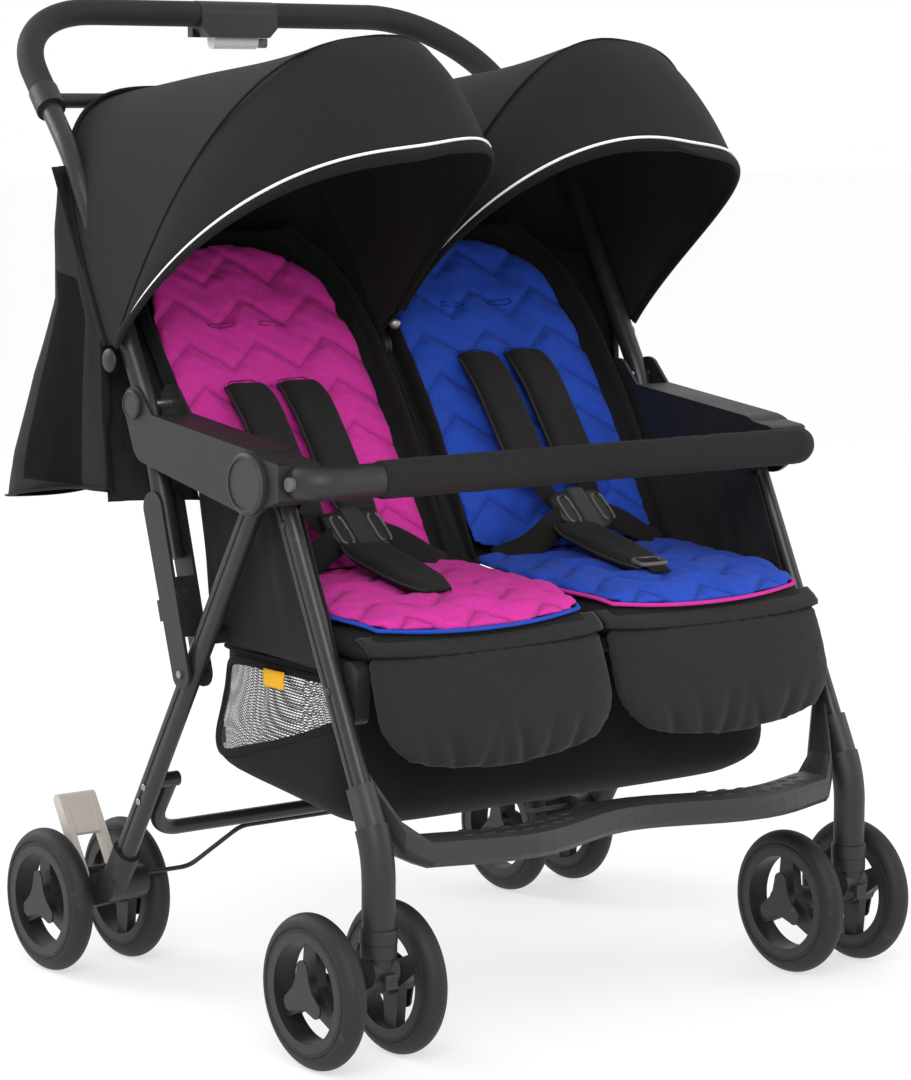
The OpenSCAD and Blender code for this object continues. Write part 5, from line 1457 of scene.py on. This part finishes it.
# %% Strap adjuster
ADJUSTER_AT, ADJUSTER_HALF = [SEAT_AT[0] + CROTCH_SHIFT["right"], -228, 449], (17, 10)
ADJUSTER_TURN = np.array([[1, 0, 0], [0, 0.98, 0.16], [0, -0.16, 0.98]])
a = np.linspace(0, 2 * np.pi, 65)
loop = np.stack([*round_loop(a, *ADJUSTER_HALF, 0.35), 0 * a], 1) @ ADJUSTER_TURN + ADJUSTER_AT
adjuster = rod_piece("strap_adjuster", loop, oval_profile(4.6, 4.6, 10, 3.0), (0, 0, 1), button_plastic)
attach(adjuster, "rear_frame")
path = smooth_path([(ADJUSTER_AT[0], -210, 449), (ADJUSTER_AT[0], -228, 449.5), (ADJUSTER_AT[0], -248, 440)])
tail = rod_piece("crotch_webbing", path, oval_profile(26.0, 2.2, 12, 4.0), (1, 0, 0), webbing)
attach(tail, "rear_frame")
print("adjuster at", ADJUSTER_AT)

# %% [markdown]
# ## Buckles
# A buckle is a D-shaped moulding with a raised middle panel and a window on either side that shows the
# strap tongues. The body is one domed shell, and the panel and the window frames are added over it.

# %% Buckle bodies
BUCKLE_AT, BUCKLE_LEAN = (152.0, -84.0, 484.0), math.radians(42)
WINDOW_APART, WINDOW_HALF, WINDOW_OUT = 24.0, (7.5, 18), 9.2


def shell_pad(width, length, low, high, thick, base, rows=31, columns=41, steep=10.0):
    """A moulded block: a rounded outline with a nearly flat top and round edges."""
    a, b = square(rows, columns)
    x, y = rounded(a, b, width, length, low, high)
    crown = pillow(a, b, steep)
    return np.stack([x, y, base + thick * crown], -1), np.stack([x, y, base - 2.0 * crown], -1)


BUCKLE_BLOCKS = {
    "body": (shell_pad(76, 60, 0.95, 0.3, 9.0, 0.0), black_plastic),
    "panel": (shell_pad(25, 64, 0.3, 0.2, 3.4, 8.0), grey_plastic),
}
for name, side in SIDES.items():
    for word, (grids, finish) in BUCKLE_BLOCKS.items():
        points, faces = cushion(*(set_on(g, BUCKLE_AT, BUCKLE_LEAN, side) for g in grids))
        block = new_piece(f"buckle_{word}_{name}", points, faces, finish)
        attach(block, "rear_frame")
        if word == "body":
            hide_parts(f"buckle_{name}")
    for word, x in (("outer", side * WINDOW_APART), ("inner", -side * WINDOW_APART)):
        wide, high = round_loop(a, *WINDOW_HALF, 0.4)
        path = set_on(np.stack([x + wide, high, WINDOW_OUT + 0 * a], 1), BUCKLE_AT, BUCKLE_LEAN, side)
        profile = oval_profile(3.2, 3.2, 8)
        window = rod_piece(f"buckle_window_{name}_{word}", path, profile, (1, 0, 0), button_plastic)
        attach(window, "rear_frame")
print("buckles lean by", round(math.degrees(BUCKLE_LEAN)), "degrees")

# %% [markdown]
# ## Bumper bar sleeve
# A zipped cloth sleeve covers the middle of the bumper bar. It is a tube whose radius varies a little where
# the foam under it gives, with a gathered end and a seam along its lower side.

# %% Sleeve
SLEEVE_RADIUS, BUMPER_LINE, BEND_RADIUS = 19.4, (-252.0, 562.0), 24
SLEEVE_ENDS, BEND_AT = (-249.5, 299), 301
FOAM_GIVE, END_ROUND, GATHERS, SEAM_DEEP = 0.45, 1.5, 60, 0.9
bend = np.radians(np.linspace(0, 70, 15))
x = np.concatenate([np.linspace(*SLEEVE_ENDS, 150), BEND_AT + BEND_RADIUS * np.sin(bend)])
y = np.concatenate([np.zeros(150), BEND_RADIUS * (1 - np.cos(bend))]) + BUMPER_LINE[0]
path = np.stack([x, y, np.full(len(x), BUMPER_LINE[1])], 1)
t, a = np.meshgrid(np.linspace(0, 1, len(path)), 2 * np.pi * np.arange(48) / 48, indexing="ij")
radius = SLEEVE_RADIUS + FOAM_GIVE * ripple(t * 7, a / 3.14, 51)
radius = radius - END_ROUND * np.clip((abs(2 * t - 1) - 0.98) / 0.02, 0, 1)**2
radius = radius + 0.5 * np.sin(2 * np.pi * t * GATHERS + 2 * a) * np.clip((t - 0.9) / 0.1, 0, 1)
radius = radius - SEAM_DEEP * bump(a, 1.5 * np.pi, 0.12)
profile = np.stack([radius * np.cos(a), radius * np.sin(a)], -1)
sleeve = rod_piece("bumper_sleeve", path, profile, (0, 0, 1), hood_cloth)
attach(sleeve, "bumper_bar")
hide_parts("bumper_cover")
print("sleeve radius:", radius.min().round(1), "to", radius.max().round(1), "mm")

# %% [markdown]
# ## Small hardware
# Rivets hold the tubes, knobs sit at the hood pivots, and low ovals on the footrest stop shoes from slipping.
# Each is a small dome, turned from one profile, and each set is one mesh.

# %% Domes
def domes(name, places, axes, radius, height, finish, stretch=1.0, rings=5, spokes=16):
    """Many low domes as one mesh: each profile is an ellipse turned about its axis, set on its place."""
    a = 2 * np.pi * np.arange(spokes) / spokes
    t = np.linspace(0, np.pi / 2, rings)[:-1, None]
    flat = np.stack([np.cos(t) * np.cos(a) * stretch, np.cos(t) * np.sin(a), np.sin(t) + 0 * a], -1)
    flat = np.vstack([flat.reshape(-1, 3), [[0, 0, 1]], [[0, 0, -0.3]]]) * [radius, radius, height]
    index = grid_index(rings - 1, spokes, round_columns=True)
    faces = quads(index).tolist()
    top, low = (rings - 1) * spokes, (rings - 1) * spokes + 1
    faces += [[int(p), int(q), top] for p, q in zip(index[-1][:-1], index[-1][1:])]
    faces += [[int(q), int(p), low] for p, q in zip(index[0][:-1], index[0][1:])]
    points, all_faces = [], []
    for place, axis in zip(places, axes):
        axis = np.asarray(axis, float) / np.linalg.norm(axis)
        first = np.cross((0, 1, 0) if abs(axis[1]) < 0.9 else (1, 0, 0), axis)
        first /= np.linalg.norm(first)
        turned = flat @ np.stack([first, np.cross(axis, first), axis])
        all_faces += [[i + len(points) * len(flat) for i in f] for f in faces]
        points.append(turned + place)
    return new_piece(name, np.vstack(points), all_faces, finish)


def on_both_sides(places):
    """Places given on the right, on both sides: the left ones first, with the outward axis of each."""
    both = [(s, x, y, z) for s in (-1, 1) for x, y, z in places]
    return [(s * x, y, z) for s, x, y, z in both], [(s, 0, 0) for s, *_ in both]


HOOD_RIVETS = [(-5, 47, 690), (347, 86, 690)], [(-0.6, -0.8, 0), (-0.8, -0.6, 0)]
FRONT_RIVETS = on_both_sides([(322, -268, 361), (322, -193, 518)])
REAR_RIVETS = on_both_sides([(341, 34, 221), (341, 44.5, 204)])
KNOBS = on_both_sides([(351, 75, 664), (2, 75, 664)])
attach(domes("hood_rivets", *HOOD_RIVETS, 6.5, 4.0, steel), "push_frame")
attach(domes("front_leg_rivets", *FRONT_RIVETS, 4.5, 2.0, grey_plastic), "front_frame")
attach(domes("rear_leg_rivets", *REAR_RIVETS, 4.0, 2.0, steel), "rear_frame")
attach(domes("hood_knobs", *KNOBS, 13.0, 5.0, black_plastic), "push_frame")
print("rivets and knobs:", sum(len(places) for places, _ in (HOOD_RIVETS, FRONT_RIVETS, REAR_RIVETS, KNOBS)))

# %% [markdown]
# The footrest is a bar in the form of a wide W. Its ovals stand in two rows, one of them shifted by about
# half a step, and both follow the bar's front line, which is a cosine of the place across.

# %% Footrest ovals
FOOTREST_HALF, FOOTREST_TOP, FOOTREST_Y, LOBE_DEEP = 306, 222.6, -329, 36
lobes = np.concatenate([np.linspace(-0.72, -0.30, 7), np.linspace(0.30, 0.72, 7)])
wave = LOBE_DEEP * (1 - np.cos(2 * np.pi * abs(lobes))) / 2
lobe_y = FOOTREST_Y - wave + 5 * np.cos(np.pi / 2 * abs(lobes))**2
ovals = []
for s, y in zip(lobes, lobe_y):
    ovals += [(s * FOOTREST_HALF, y - 9, FOOTREST_TOP), (s * FOOTREST_HALF + 9, y + 9, FOOTREST_TOP)]
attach(domes("footrest_ovals", ovals, [(0, 0, 1)] * len(ovals), 4.0, 1.3, grey_plastic, 1.9), "front_frame")
print("footrest ovals:", len(ovals))

# %% [markdown]
# ## Floor and light
# The stroller stands on a plain pale floor under soft studio light: a large lamp in front on the left, a
# broad fill on the right, a lamp behind that draws the edges of the tubes, and a bright even sky. The floor
# and the sky are white to the camera, so the floor runs into the background without a line.

# %% Floor
FLOOR_REACH, FLOOR_BELOW = 30, 0.0003
floor_finish, tree, shader, where = new_finish("pale_floor", (0.9, 0.9, 0.9, 1), Roughness=0.85,
                                               Specular_IOR_Level=0.1, Emission_Color=(1, 1, 1, 1),
                                               Emission_Strength=0.6)
specks = blend_colour(tree, noise(tree, where, 3.0, 3.0), (0.41, 0.41, 0.41, 1), (0.42, 0.42, 0.42, 1))
tree.links.new(specks, shader.inputs["Base Color"])
u, v = np.meshgrid(np.linspace(-FLOOR_REACH, FLOOR_REACH, 3), np.linspace(-FLOOR_REACH, FLOOR_REACH, 3))
ground = np.stack([u, v, 0 * u - FLOOR_BELOW], -1) / MM
floor = new_piece("floor", ground, quads(grid_index(3, 3)), floor_finish, closed=False)
floor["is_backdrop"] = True
print("floor:", 2 * FLOOR_REACH, "m wide")

# %% [markdown]
# Rays from the camera, and rays that pass through a piece, see a plain white sky, while the stroller is lit
# by a softer one. Three square lamps look at the middle of the stroller.

# %% Sky and lamps
AIM = np.array([0, -0.05, 0.5])
world = bpy.data.worlds.new("studio")
bpy.context.scene.world = world
world.use_nodes = True
sky = world.node_tree
shown = sky.nodes["Background"]
shown.inputs["Color"].default_value, shown.inputs["Strength"].default_value = (1, 1, 1, 1), 1.0
soft = node(sky, "ShaderNodeBackground", {"Color": (1.0, 0.998, 0.994, 1), "Strength": 0.86})
path = node(sky, "ShaderNodeLightPath")
seen = maths(sky, "MAXIMUM", path.outputs["Is Camera Ray"], path.outputs["Is Transmission Ray"])
mixed = node(sky, "ShaderNodeMixShader", {0: seen, 1: soft.outputs[0], 2: shown.outputs[0]})
sky.links.new(mixed.outputs[0], sky.nodes["World Output"].inputs["Surface"])


def lamp(name, place, size, power):
    """A square area lamp that looks from its place at the stroller."""
    made = linked(name, bpy.data.lights.new(name, "AREA"))
    made.data.size, made.data.energy = size, power
    back = np.asarray(place, float) - AIM
    back /= np.linalg.norm(back)
    side = np.cross((0, 0, 1), back)
    side /= np.linalg.norm(side)
    made.matrix_world = pose(side, np.cross(back, side), back, place)


lamp("key_lamp", (-2.6, -3.2, 3.0), 2.4, 105)
lamp("fill_lamp", (3.2, -2.4, 1.8), 2.6, 30)
lamp("edge_lamp", (-1.6, 3.0, 2.4), 1.8, 60)
bpy.context.scene.view_settings.view_transform = "Standard"
print("lamps:", len(bpy.data.lights))

# %% Finish
new_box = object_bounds()
boxes = {"cad": [list(c) for c in cad_box], "visual": [list(c) for c in new_box]}
grown = [[round(1000 * (v - c), 1) for v, c in zip(boxes["visual"][i], boxes["cad"][i])] for i in (0, 1)]
print("grown by, mm:", grown)
